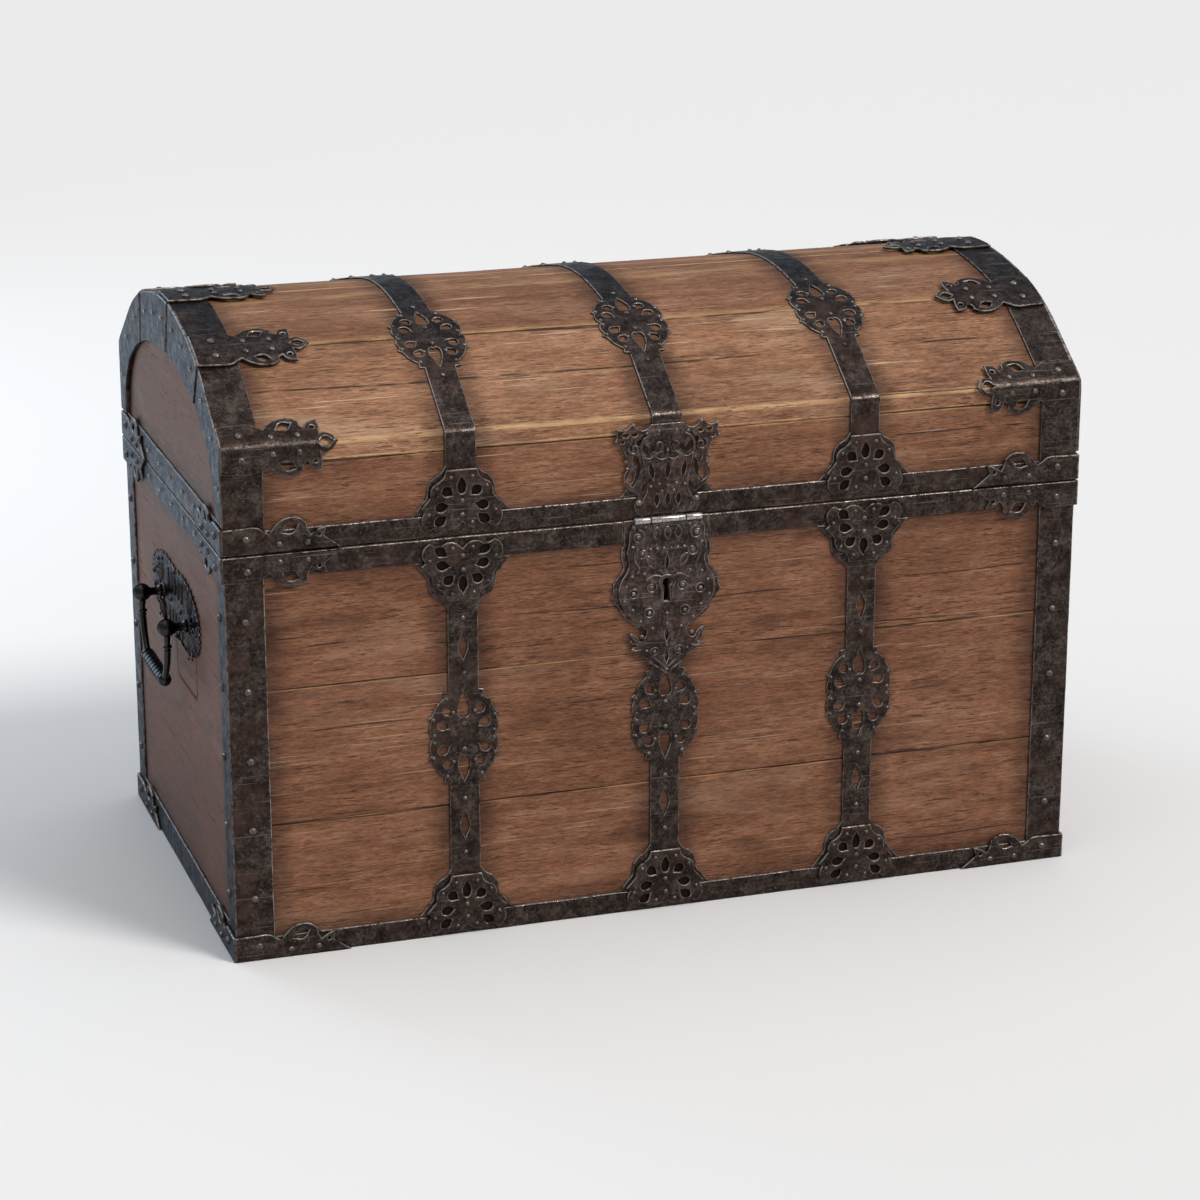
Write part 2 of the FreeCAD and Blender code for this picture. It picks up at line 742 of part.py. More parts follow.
def lid_strap():
    """A strap over the whole lid, with a pierced rosette over the front joint and a plain one behind."""
    reach = s.strap_flare_width / 2
    low = lid_bottom + s.rim_band_height
    skin = lid_skin(wood_offset, 0, low, -reach, reach)
    bar = Part.makeBox(
        s.strap_width, s.chest_depth, s.lid_rise, Vector(-s.strap_width / 2, -half_depth, low)
    )
    flare = plate(mirrored(flare_side(True)), [], half_depth)
    flare.Placement = Placement(Vector(0, 0, low), Rotation(X_AXIS, 90))
    petals = on_fold(through(mirrored(rosette_side()), [], s.strap_width), joint, joint_angle)
    strap = skin.common(bar.fuse([flare, petals, to_back(petals)]))
    cutters = [on_fold(through(hole, [], s.strap_width), joint, joint_angle) for hole in rosette_holes()]
    return strap.cut(cutters).removeSplitter().Solids[0]


def leaf_holes():
    """An eye near the tip of a leaf and one in each lobe."""
    holes = [almond(0, 0.86 * s.leaf_length, 0.14 * s.leaf_length, 0.18 * s.leaf_width)]
    for turn, side in ((60, 1), (120, -1)):
        start = (side * 0.22 * s.leaf_width, 0.52 * s.leaf_length)
        holes.append(teardrop(start, turn, 0, 0.24 * s.leaf_width, 0.13 * s.leaf_width))
    return holes


def lid_leaf(fold, angles):
    """A leaf of the left end, pointing along a fold, with a wing at each of the given angles."""
    skin = lid_skin(0, s.mount_thickness, lid_bottom, -half_width, -half_width + s.leaf_length)
    blank = through(mirrored(leaf_side(s.leaf_width / 2)), leaf_holes(), s.leaf_width / 2)
    blank.Placement = Placement(-X_AXIS * half_width, Rotation(Z_AXIS, -90)) * blank.Placement
    bend = Placement(fold - X_AXIS * s.chest_width, Rotation(X_AXIS, sum(angles) / 2 - 90))
    wings = []
    for angle, low in zip(angles, (-s.leaf_width, 0)):
        side = Part.makeBox(2 * s.chest_width, s.chest_depth, s.leaf_width, Vector(0, -half_depth, low))
        side.Placement = bend * side.Placement
        wings.append(skin.common(on_fold(blank, fold, angle)).common(side))
    return wings[0].fuse(wings[1]).removeSplitter().Solids[0]


def lid_leaf_mounts():
    """Five leaves to each end: over both creases, over both joints and on the ridge."""
    steep = math.degrees(low_slope)
    shallow = math.degrees(high_slope)
    left = [lid_leaf(crease, (90, steep)), lid_leaf(joint, (steep, shallow))]
    left += [to_back(leaf) for leaf in left]
    left.append(lid_leaf(ridge, (shallow, -shallow)))
    return drawn(*left, *[to_right(leaf) for leaf in left])


# Barrels: knuckles round a pin, for the back hinges and for the hasp

def barrel_rod(radius, start, end, side):
    """A bar along X on the barrel's line at the front (side -1) or back (side 1)."""
    return Part.makeCylinder(radius, end - start, Vector(start, side * barrel_y, barrel_z), X_AXIS)


middle_reach = s.knuckle_middle / 2
side_start = middle_reach + s.knuckle_gap
barrel_reach = side_start + s.knuckle_side


def side_knuckles(leaf, side):
    """A leaf with its two outer knuckles and the pin that is peened into them."""
    ends = [(-barrel_reach, -side_start), (side_start, barrel_reach)]
    knuckles = [barrel_rod(s.barrel_radius, *end, side) for end in ends]
    return leaf.fuse(knuckles + [barrel_rod(s.pin_radius, -barrel_reach, barrel_reach, side)])


def middle_knuckle(leaf, side):
    """A leaf with its one middle knuckle, which turns on the pin."""
    solid = leaf.fuse(barrel_rod(s.barrel_radius, -middle_reach, middle_reach, side))
    return solid.cut(barrel_rod(s.pin_radius + s.running_clearance, -middle_reach, middle_reach, side))


def hinge_leaf(knuckled, tongues):
    """A plain fan for the back, in the shape of a palmette, with tongues that run to its knuckles."""
    width = s.palmette_width / 2
    length = s.hinge_leaf_length
    edge = [(0.60, 0.78), (0.72, 0.72), (0.78, 0.54), (1, 0.38), (0.90, 0.32)]
    right = [(s.strap_width / 2, -length, 0)] + [(x * width, -y * length, 0) for x, y in edge]
    right.append((barrel_reach, -barrel_room, 0))
    leaf = plate(mirrored(right), [], s.mount_thickness)
    for start, end in tongues:
        tongue = [(start, -2 * barrel_room, 0), (end, -2 * barrel_room, 0), (end, 0, 0), (start, 0, 0)]
        leaf = leaf.fuse(plate(tongue, [], s.mount_thickness))
    leaf.Placement = Placement(Vector(0, half_depth, barrel_z), Rotation(Z_AXIS, 180) * Rotation(X_AXIS, 90))
    return knuckled(leaf, 1).removeSplitter()


def above_joint(shape):
    """Turn a leaf over from below the barrel's line to above it."""
    return shape.mirror(Vector(0, 0, barrel_z), Z_AXIS)


def back_hinges():
    side_tongues = [(-barrel_reach, -side_start), (side_start, barrel_reach)]
    lower = hinge_leaf(side_knuckles, side_tongues)
    upper = above_joint(hinge_leaf(middle_knuckle, [(-middle_reach, middle_reach)]))
    node("hinge_base_leaves", drawn(*[at_x(lower, x) for x in side_strap_places]))
    node("hinge_lid_leaves", drawn(*[at_x(upper, x) for x in side_strap_places]))


# Hasp: a pierced plate on the lid carries the flap that hangs over the lock plate

def lid_hasp_plate():
    half = s.hasp_plate_width / 2
    height = s.hasp_plate_height
    edge = [
        (0.70, 0.25), (0.87, 0.42), (0.79, 0.55), (0.89, 0.74), (1, 0.81), (0.92, 0.87), (0.97, 0.95),
        (0.79, 0.92), (0.69, 0.99), (0.52, 0.94),
    ]
    right = [(barrel_reach, barrel_room, 0)] + [(x * half, y * height, 0) for x, y in edge]
    right.append((s.strap_width / 2, height, 0))
    holes = [almond(x * half, 0.23 * height, 0.13 * height, 0.07 * half) for x in (-0.18, 0, 0.18)]
    holes += [almond(x * half, 0.48 * height, 0.15 * height, 0.07 * half) for x in (-0.27, 0, 0.27)]
    for side, turn in ((1, 60), (-1, 120)):
        holes.append(teardrop((side * 0.68 * half, 0.36 * height), turn, 0, 0.15 * height, 0.15 * half))
        holes.append(teardrop((side * 0.60 * half, 0.76 * height), turn, 0, 0.15 * height, 0.17 * half))
    leaf = plate(mirrored(right), holes, s.mount_thickness)
    for start, end in ((-barrel_reach, -side_start), (side_start, barrel_reach)):
        tongue = [(start, 0, 0), (end, 0, 0), (end, 2 * barrel_room, 0), (start, 2 * barrel_room, 0)]
        leaf = leaf.fuse(plate(tongue, [], s.mount_thickness))
    leaf.Placement = Placement(Vector(0, -half_depth, barrel_z), Rotation(X_AXIS, 90))
    return drawn(side_knuckles(leaf, -1).removeSplitter())


def hasp_flap():
    """A shield with a keyhole, two scroll ears and a pointed tail."""
    half = s.flap_width / 2
    length = s.flap_length
    edge = [
        (0, -1), (0.39, -0.88), (0.61, -0.835), (0.80, -0.80), (0.70, -0.77), (0.86, -0.69), (0.60, -0.75),
        (0.42, -0.68), (0.72, -0.615), (0.94, -0.53), (1, -0.45), (0.98, -0.38), (0.81, -0.25), (0.88, -0.22),
    ]
    right = [(x * half, y * length, 0) for x, y in edge]
    right.append((barrel_reach, -barrel_room, 0))
    hole = shifted(keyhole(), 0, s.base_height - s.keyhole_drop - barrel_z)
    flap = plate(mirrored(right), [hole], s.flap_thickness)
    tongue = [
        (-middle_reach, -2 * barrel_room, 0), (middle_reach, -2 * barrel_room, 0), (middle_reach, 0, 0),
        (-middle_reach, 0, 0),
    ]
    flap = flap.fuse(plate(tongue, [], s.flap_thickness))
    flap.Placement = Placement(Vector(0, -half_depth - s.barrel_clearance, barrel_z), Rotation(X_AXIS, 90))
    return drawn(middle_knuckle(flap, -1).removeSplitter())


def hasp_staple():
    """The eye on the back of the flap that the bolt passes through."""
    centre_z = f"({RIM} - sizes.staple_drop)"
    half_x = "(sizes.staple_width / 2)"
    half_z = "(sizes.staple_height / 2)"
    eye_half_z = "(sizes.bolt_height / 2 + sizes.eye_clearance)"
    flap_back = f"(-{HALF_DEPTH} - sizes.barrel_clearance)"
    body = box(
        (f"-{half_x}", flap_back, f"{centre_z} - {half_z}"),
        (half_x, f"sizes.staple_depth - {HALF_DEPTH}", f"{centre_z} + {half_z}"),
    )
    eye = box(
        (f"-{half_x}", f"{BOLT_FRONT} - sizes.eye_clearance", f"{centre_z} - {eye_half_z}"),
        (half_x, f"{BOLT_BACK} + sizes.eye_clearance", f"{centre_z} + {eye_half_z}"),
    )
    return cut(body, eye)


# Drop handles: two ball posts through a pierced plate carry a bail with a twisted grip

POST_SIDES = 8
ARM_SIDES = 6


def skinned(rings):
    """A solid with flat facets through rings of points that have the same count."""
    faces = [Part.Face(Part.makePolygon(ring + ring[:1])) for ring in (rings[0], rings[-1])]
    for lower, upper in zip(rings, rings[1:]):
        for index in range(len(lower)):
            first, second = lower[index - 1], lower[index]
            third, fourth = upper[index], upper[index - 1]
            faces.append(Part.Face(Part.makePolygon([first, second, fourth, first])))
            faces.append(Part.Face(Part.makePolygon([second, third, fourth, second])))
    return Part.Solid(Part.Shell(faces)).removeSplitter()


def forged(stations, sides, base, direction):
    """A bar with even flats, from (distance, radius) stations along a direction."""
    rotation = Rotation(Z_AXIS, direction)
    rings = []
    for distance, radius in stations:
        ring = []
        for index in range(sides):
            turn = 2 * math.pi * (index + 0.5) / sides
            corner = Vector(radius * math.cos(turn), radius * math.sin(turn), distance)
            ring.append(base + rotation.multVec(corner))
        rings.append(ring)
    return skinned(rings)


def post_base(side):
    return Vector(-half_width, side * s.post_spacing / 2, handle_z)


def post_stem(side):
    """The length of a left stem that passes through the plate and the end boards."""
    depth = s.band_thickness + s.board_thickness
    stations = [(-depth, s.post_stem_radius), (0, s.post_stem_radius)]
    return forged(stations, POST_SIDES, post_base(side), -X_AXIS)


def stems():
    left = [post_stem(-1), post_stem(1)]
    return left + [to_right(stem) for stem in left]


def handle_plates():
    """Pierced ovals with a fan of wedges round each stem."""
    half = s.handle_plate_length / 2
    tall = s.handle_plate_height / 2
    edge = [
        (0, -0.88), (0.36, -1), (0.64, -0.88), (0.86, -0.58), (1, 0), (0.86, 0.58), (0.64, 0.88), (0.36, 1),
        (0, 0.88),
    ]
    right = [(x * half, y * tall, 0) for x, y in edge]
    fan = min(0.75 * tall, 0.55 * (half - s.post_spacing / 2))
    holes = []
    for side in (-1, 1):
        post = (side * s.post_spacing / 2, -s.handle_plate_rise)
        for turn in (-90, -45, 0, 45, 90):
            angle = turn if side > 0 else 180 - turn
            holes.append(teardrop(post, angle, 0.4 * fan, 0.6 * fan, 0.29 * fan))
    flat = plate(mirrored(right), holes, s.band_thickness)
    flat.Placement = Placement(
        Vector(-wood_end, 0, handle_z + s.handle_plate_rise),
        Rotation(Z_AXIS, -90) * Rotation(X_AXIS, 90),
    )
    return drawn(*[item.cut(stems()) for item in (flat, to_right(flat))])


def handle_post(side):
    """A stem clinched inside the board, with a slotted ball whose pin carries the tang of the bail."""
    inner = -s.band_thickness - s.board_thickness
    head = 1.8 * s.post_stem_radius
    stations = [(inner - s.clinch_thickness, head), (inner, head), (inner, s.post_stem_radius)]
    neck = math.degrees(math.acos(s.post_stem_radius / s.post_ball_radius))
    for angle in (-neck, -neck / 2, 0, neck / 2, neck):
        turn = math.radians(angle)
        stations.append((
            s.post_reach + s.post_ball_radius * math.sin(turn), s.post_ball_radius * math.cos(turn)
        ))
    base = post_base(side)
    post = forged(stations, POST_SIDES, base, -X_AXIS)
    slot_width = s.bail_tang_thickness + 2 * s.bail_tang_clearance
    slot_depth = s.post_ball_radius + 0.75 * s.bail_tang_width
    slot = Part.makeBox(
        slot_depth, slot_width, 2 * s.post_ball_radius,
        base - Vector(s.post_reach + s.post_ball_radius, slot_width / 2, s.post_ball_radius),
    )
    pin = Part.makeCylinder(s.pin_radius, slot_width, base - Vector(s.post_reach, slot_width / 2, 0), Y_AXIS)
    return post.cut(slot).fuse(pin).removeSplitter()


def handle_posts():
    left = [handle_post(-1), handle_post(1)]
    return drawn(*left, *[to_right(post) for post in left])


def twisted_grip(start, end):
    """A square bar along Y, twisted in even steps."""
    steps = GRIP_QUARTER_TURNS * GRIP_STEPS_PER_QUARTER
    corner = s.grip_side / math.sqrt(2)
    rings = []
    for step in range(steps + 1):
        y = start + (end - start) * step / steps
        ring = []
        for quarter in range(4):
            turn = math.radians(90 * (quarter + step / GRIP_STEPS_PER_QUARTER))
            ring.append(Vector(corner * math.cos(turn), y, corner * math.sin(turn)))
        rings.append(ring)
    return skinned(rings)


def bail():
    """A bail that hangs from two tangs on the line y through the origin."""
    knob_y = s.grip_spacing / 2
    tang_low = -s.post_ball_radius - s.bail_arm_radius
    tang_half = s.bail_tang_width / 2
    grip = twisted_grip(-knob_y, knob_y)
    grip.translate(Z_AXIS * -s.bail_drop)
    tang_outline = mirrored(
        [
            (tang_half, tang_low - s.bail_arm_radius, 0), (tang_half, tang_half / 2, 0),
            (tang_half / 2, tang_half, 0),
        ]
    )
    pieces = []
    for side in (-1, 1):
        top = Vector(0, side * s.post_spacing / 2, tang_low)
        foot = Vector(0, side * knob_y, -s.bail_drop)
        tang = plate(tang_outline, [], s.bail_tang_thickness)
        tang.Placement = Placement(Vector(0, top.y + s.bail_tang_thickness / 2, 0), Rotation(X_AXIS, 90))
        pieces += [tang, bail_arm(top, foot), grip_knob(foot)]
    reach = 2 * s.post_spacing
    bore = Part.makeCylinder(s.pin_radius + s.running_clearance, reach, Vector(0, -reach / 2, 0), Y_AXIS)
    return grip.fuse(pieces).cut(bore).removeSplitter().Solids[0]


def bail_arm(top, foot):
    """A forged arm with a collar near its top."""
    length = (foot - top).Length
    thin = s.bail_arm_radius
    thick = 1.4 * thin
    collar = [(0.15 * length, thin), (0.2 * length, thick), (0.25 * length, thin)]
    stations = [(0, thin)] + collar + [(length, thin)]
    return forged(stations, ARM_SIDES, top, foot - top)


def grip_knob(centre):
    """A bead with bevelled shoulders at each end of the grip."""
    radius = s.grip_knob_radius
    half = s.grip_knob_length / 2
    stations = [(-half, 0.6 * radius), (-0.4 * half, radius), (0.4 * half, radius), (half, 0.6 * radius)]
    return forged(stations, POST_SIDES, centre, Y_AXIS)


def bails():
    shape = bail()
    for label, hand in (("left_bail", -1), ("right_bail", 1)):
        item = doc.addObject("Part::Feature", label)
        item.Shape = shape
        item.Placement = Placement(Vector(hand * (half_width + s.post_reach), 0, handle_z), Rotation())
        node(label, item)


# The chest as it is put together

node("front_board_lower", long_board(0, -1))
node("front_board_middle", long_board(1, -1))
node("front_board_upper", cut(long_board(2, -1), group(staple_channel(), lock_recess(), key_channel())))
node("back_boards", group(*[long_board(index, 1) for index in range(BOARDS_PER_SIDE)]))
node("left_end_boards", end_boards(-1))
node("right_end_boards", end_boards(1))
node("bottom_boards", bottom_boards())

node("front_rim_bands", front_rim_bands())
node("back_rim_band", long_band(1, f"{RIM} - sizes.rim_band_height", RIM, BAND_X))
node("end_rim_bands", end_bands(f"{RIM} - sizes.rim_band_height", RIM, BAND_Y))
node("front_foot_band", long_band(-1, "0", "sizes.foot_band_height", BAND_X))
node("back_foot_band", long_band(1, "0", "sizes.foot_band_height", BAND_X))
node("end_foot_bands", end_bands("0", "sizes.end_foot_band_height", BAND_Y))
node("front_corner_angles", corner_angles(-1))
node("back_corner_angles", corner_angles(1))
front_straps()
node("back_straps", back_straps())
node("front_palmettes", front_palmettes())
mount = corner_mount()
node("foot_corner_mounts", four_corners(mount))
node("rim_corner_mounts", four_corners(raised(mount.mirror(CENTRE, Z_AXIS), s.base_height)))

node("lock_plate", lock_plate())
node("lock_case", lock_case())
node("lock_spring", lock_spring())
node("lock_bolt", lock_bolt())

lid_boards()
lid_gables()
lid_low = f"{LID_BOTTOM}"
node("lid_front_rim_band", long_band(-1, lid_low, f"{LID_BOTTOM} + sizes.rim_band_height", LID_BAND_X))
node("lid_back_rim_band", long_band(1, lid_low, f"{LID_BOTTOM} + sizes.rim_band_height", LID_BAND_X))
node("lid_end_rim_bands", end_bands(lid_low, f"{LID_BOTTOM} + sizes.lid_end_rim_height", WOOD_Y))
node("lid_end_bands", lid_end_bands())
strap = lid_strap()
for hand, place in zip(("left", "centre", "right"), strap_places):
    node(f"lid_strap_{hand}", drawn(at_x(strap, place)))
node("lid_leaf_mounts", lid_leaf_mounts())
node("lid_corner_mounts", four_corners(raised(mount, lid_bottom)))
node("lid_palmettes", lid_palmettes())

back_hinges()
node("lid_hasp_plate", lid_hasp_plate())
node("hasp_flap", hasp_flap())
node("hasp_staple", hasp_staple())

node("handle_plates", handle_plates())
node("handle_posts", handle_posts())
bails()

doc.recompute()
for item in doc.Objects:
    if "Invalid" in item.State or "Error" in item.State:
        raise RuntimeError(f"{item.Label} failed: {item.State}")
for item in nodes:
    if item.Shape.isNull() or not item.Shape.isValid() or not item.Shape.Solids:
        raise RuntimeError(f"{item.Label} has no valid solid")

os.makedirs("parts", exist_ok=True)
for item in nodes:
    item.Shape.exportStep(f"parts/{item.Label}.step")
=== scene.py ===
import math

import bpy
from mathutils import Matrix, Vector, noise


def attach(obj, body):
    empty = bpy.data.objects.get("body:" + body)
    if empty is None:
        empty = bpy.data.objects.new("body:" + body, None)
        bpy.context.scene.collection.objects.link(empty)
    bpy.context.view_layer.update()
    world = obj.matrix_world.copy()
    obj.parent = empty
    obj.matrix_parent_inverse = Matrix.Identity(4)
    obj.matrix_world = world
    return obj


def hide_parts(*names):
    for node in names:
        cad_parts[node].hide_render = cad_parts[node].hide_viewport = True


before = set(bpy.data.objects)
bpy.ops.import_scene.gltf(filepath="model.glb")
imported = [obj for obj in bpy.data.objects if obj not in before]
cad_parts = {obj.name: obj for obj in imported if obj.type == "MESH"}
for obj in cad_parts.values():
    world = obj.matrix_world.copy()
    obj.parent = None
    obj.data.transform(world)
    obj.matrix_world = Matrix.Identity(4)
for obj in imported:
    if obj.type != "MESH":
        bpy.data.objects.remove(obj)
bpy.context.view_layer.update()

# Chest boards: three wide planks to each side and three more for the bottom. They are planed softwood,
# rabbeted at the corners and nailed, waxed brown long ago, with open seams, drying cracks and rubbed edges.

MM = 0.001
BOARD_EDGE = 1.6
BOARD_WEAR_AND_HIGHLIGHT = 1.4
BOARD_STEP = 24
BOARD_WANDER = 0.5
SURFACE_SEED = 7
SHARP_EDGE = 28
MERGE_WITHIN = 0.01
STRAP_SPACING = 236
RIM_BAND_LOW = 439
CHEST_BOARDS = {
    "front_board_lower": 1.0, "front_board_middle": 2.0, "front_board_upper": 3.0, "back_boards": 4.0,
    "left_end_boards": 5.0, "right_end_boards": 6.0, "bottom_boards": 7.0,
}
noise.seed_set(SURFACE_SEED)


def pick(*pieces):
    """Select these pieces alone; the first is the active one."""
    bpy.ops.object.select_all(action="DESELECT")
    for piece in pieces:
        piece.select_set(True)
    bpy.context.view_layer.objects.active = pieces[0]


def copied_solid(node, name):
    """A new piece from a solid's mesh, its loose triangles merged into whole faces."""
    piece = bpy.data.objects.new(name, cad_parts[node].data.copy())
    piece.data.materials.clear()
    bpy.context.scene.collection.objects.link(piece)
    pick(piece)
    bpy.ops.object.mode_set(mode="EDIT")
    bpy.ops.mesh.select_all(action="SELECT")
    bpy.ops.mesh.remove_doubles(threshold=MERGE_WITHIN * MM)
    bpy.ops.mesh.dissolve_limited(angle_limit=math.radians(0.5))
    bpy.ops.object.mode_set(mode="OBJECT")
    return piece


def rounded(piece, width, segments=2):
    """Round every sharp edge of a piece."""
    pick(piece)
    bevel = piece.modifiers.new("worn_edge", "BEVEL")
    bevel.width = width * MM
    bevel.segments = segments
    bevel.limit_method = "ANGLE"
    bevel.angle_limit = math.radians(SHARP_EDGE)
    bpy.ops.object.modifier_apply(modifier=bevel.name)


def uneven(piece, spacing, amount, scale=14):
    """Divide the long edges of a piece and let its surface wander a little, as hand work does."""
    pick(piece)
    bpy.context.tool_settings.mesh_select_mode = (False, True, False)
    mesh = piece.data
    longest = 0
    bpy.ops.object.mode_set(mode="EDIT")
    bpy.ops.mesh.select_all(action="DESELECT")
    bpy.ops.object.mode_set(mode="OBJECT")
    for edge in mesh.edges:
        start, end = (mesh.vertices[index].co for index in edge.vertices)
        length = (end - start).length / MM
        edge.select = length > 4 * spacing
        longest = max(longest, length)
    bpy.ops.object.mode_set(mode="EDIT")
    bpy.ops.mesh.subdivide(number_cuts=max(1, int(longest / spacing)))
    bpy.ops.object.mode_set(mode="OBJECT")
    for vertex in mesh.vertices:
        vertex.co += noise.noise_vector(vertex.co * scale) * amount * MM
        vertex.co.z = max(vertex.co.z, 0)


def mark(piece, name, value):
    """Give a piece one number all over, for its material to read."""
    layer = piece.data.attributes.new(name, "FLOAT", "FACE")
    layer.data.foreach_set("value", [value] * len(piece.data.polygons))


SQUARE = 0.985
LOOKS_UP = 0.3
LOOKS_DOWN = -0.3
# Edges that look up get more of the mark, as painted highlight.
UPWARD_HIGHLIGHT = 1.6


def mark_wear_and_highlight(piece, width, rubbed_and_lit=1.0):
    """Mark the narrow slanting faces along a piece's edges for wear, more as painted highlight on those that
    look up, none on those that look down.
    """
    mesh = piece.data
    layer = mesh.attributes.new("wear_and_highlight", "FLOAT", "FACE")
    for face in mesh.polygons:
        corners = [mesh.vertices[index].co for index in face.vertices]
        longest = max((a - b).length for a, b in zip(corners, corners[1:] + corners[:1]))
        slanting = max(abs(part) for part in face.normal) < SQUARE
        if slanting and face.normal.z > LOOKS_DOWN and face.area / longest < width * MM:
            layer.data[face.index].value = UPWARD_HIGHLIGHT * rubbed_and_lit if face.normal.z > LOOKS_UP else rubbed_and_lit


CHEST_MIDDLE = Vector((0, 0, 0.3))


def mark_outside(piece):
    """Mark the faces that look away from the middle of the chest, where dirt and painted shade lie beside the
    irons.
    """
    layer = piece.data.attributes.new("outside", "FLOAT", "FACE")
    for face in piece.data.polygons:
        layer.data[face.index].value = float(face.normal.dot(face.center - CHEST_MIDDLE) > 0)


# Edges keep this share of wear everywhere; those that look up, to the right or up to the left get more as
# painted highlight.
RUBBED_EVERYWHERE = 0.35
HIGHLIGHT_UP_OR_RIGHT = 1.3
HIGHLIGHT_UP_LEFT = 2.2


def fitted(piece, material, body, slot, *nodes):
    """Paint a finished piece, tie it to its body and let it stand for its solids.

    Its edges keep a little wear all round and get painted highlights, most where they look up to the left,
    then where they look up or to the right; where they look down they are left dark as painted shade.
    """
    wear_and_highlight = piece.data.attributes.get("wear_and_highlight")
    for face in piece.data.polygons if wear_and_highlight else ():
        aside, _, up = face.normal
        share = RUBBED_EVERYWHERE + HIGHLIGHT_UP_OR_RIGHT * max(0, up, aside)
        share += HIGHLIGHT_UP_LEFT * max(0, min(up, -aside))
        wear_and_highlight.data[face.index].value *= share if up > LOOKS_DOWN else 0
    piece.data.materials.clear()
    piece.data.materials.append(material)
    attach(piece, body)
    if nodes:
        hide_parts(*nodes)


def place(tree, kind, inputs=None, **settings):
    """Add a node; inputs maps its sockets to values or to the sockets that feed them."""
    item = tree.nodes.new(kind)
    for key, value in settings.items():
        setattr(item, key, value)
    for key, value in (inputs or {}).items():
        if isinstance(value, bpy.types.NodeSocket):
            tree.links.new(value, item.inputs[key])
        else:
            item.inputs[key].default_value = value
    return item


def calc(tree, operation, *values, clamp=False):
    inputs = dict(enumerate(values))
    return place(tree, "ShaderNodeMath", inputs, operation=operation, use_clamp=clamp).outputs[0]


def times(tree, first, *others):
    """The product of values."""
    for other in others:
        first = calc(tree, "MULTIPLY", first, other)
    return first


def strongest(tree, first, *others):
    """The highest of values."""
    for other in others:
        first = calc(tree, "MAXIMUM", first, other)
    return first


def weighted(tree, *parts):
    """The sum of values, each times its share."""
    total = 0.0
    for value, share in parts:
        total = calc(tree, "MULTIPLY_ADD", value, share, total)
    return total


def spread(tree, value, low, high, start=0.0, end=1.0):
    """A smooth step from start to end while a value goes from low to high."""
    inputs = {"Value": value, "From Min": low, "From Max": high, "To Min": start, "To Max": end}
    return place(tree, "ShaderNodeMapRange", inputs, interpolation_type="SMOOTHSTEP").outputs["Result"]


def scaled(tree, vector, size, turn=(0, 0, 0), shift=(0, 0, 0)):
    inputs = {"Vector": vector, "Location": shift, "Rotation": turn, "Scale": size}
    return place(tree, "ShaderNodeMapping", inputs).outputs["Vector"]


def clouds(tree, vector, scale, detail=3.0, roughness=0.55, distortion=0.0):
    inputs = {
        "Vector": vector, "Scale": scale, "Detail": detail, "Roughness": roughness, "Distortion": distortion,
    }
    return place(tree, "ShaderNodeTexNoise", inputs).outputs[0]


def ramp(tree, value, stops):
    """Colours along a value, from (place, colour) stops."""
    item = place(tree, "ShaderNodeValToRGB", {"Fac": value})
    points = item.color_ramp.elements
    while len(points) < len(stops):
        points.new(1)
    for point, (where, colour) in zip(points, stops):
        point.position = where
        point.color = (*colour, 1)
    return item.outputs["Color"]


def blend(tree, factor, first, second, mode="MIX"):
    item = place(tree, "ShaderNodeMix", {"Factor": factor}, data_type="RGBA", blend_type=mode)
    for socket, value in ((item.inputs[6], first), (item.inputs[7], second)):
        if isinstance(value, bpy.types.NodeSocket):
            tree.links.new(value, socket)
        else:
            socket.default_value = (*value, 1)
    return item.outputs[2]


def effect(name, inputs, outputs):
    """An empty node group with sockets of the given labels and kinds, and its two end nodes."""
    tree = bpy.data.node_groups.new(name, "ShaderNodeTree")
    for sockets, way in ((inputs, "INPUT"), (outputs, "OUTPUT")):
        for label, kind in sockets.items():
            tree.interface.new_socket(label, in_out=way, socket_type=f"NodeSocket{kind}")
    return tree, place(tree, "NodeGroupInput").outputs, place(tree, "NodeGroupOutput").inputs


def join_sockets(tree, *pairs):
    for source, target in pairs:
        tree.links.new(source, target)


CRACK = (0.016, 0.008, 0.005)
RUBBED_AND_HIGHLIT_WOOD = (0.40, 0.222, 0.105)
# Dirt and painted shade, multiplied into the wood beside the irons.
DIRT_AND_SHADE = (0.15, 0.11, 0.10)
STAIN = (0.30, 0.20, 0.16)
FADED_WOOD = (0.34, 0.205, 0.13)
RUDDY_WOOD = (0.30, 0.095, 0.042)
NICKED_WOOD = (0.47, 0.17, 0.07)
SCRATCHED_WOOD = (0.52, 0.35, 0.235)
WOOD_TONES = [
    (0.38, (0.066, 0.025, 0.013)), (0.45, (0.124, 0.049, 0.025)), (0.50, (0.184, 0.077, 0.039)),
    (0.55, (0.248, 0.114, 0.063)), (0.63, (0.335, 0.180, 0.112)),
]
CRACK_SPACING = 53
SCRATCH_TURNS = (0.45, -0.7, 1.2)


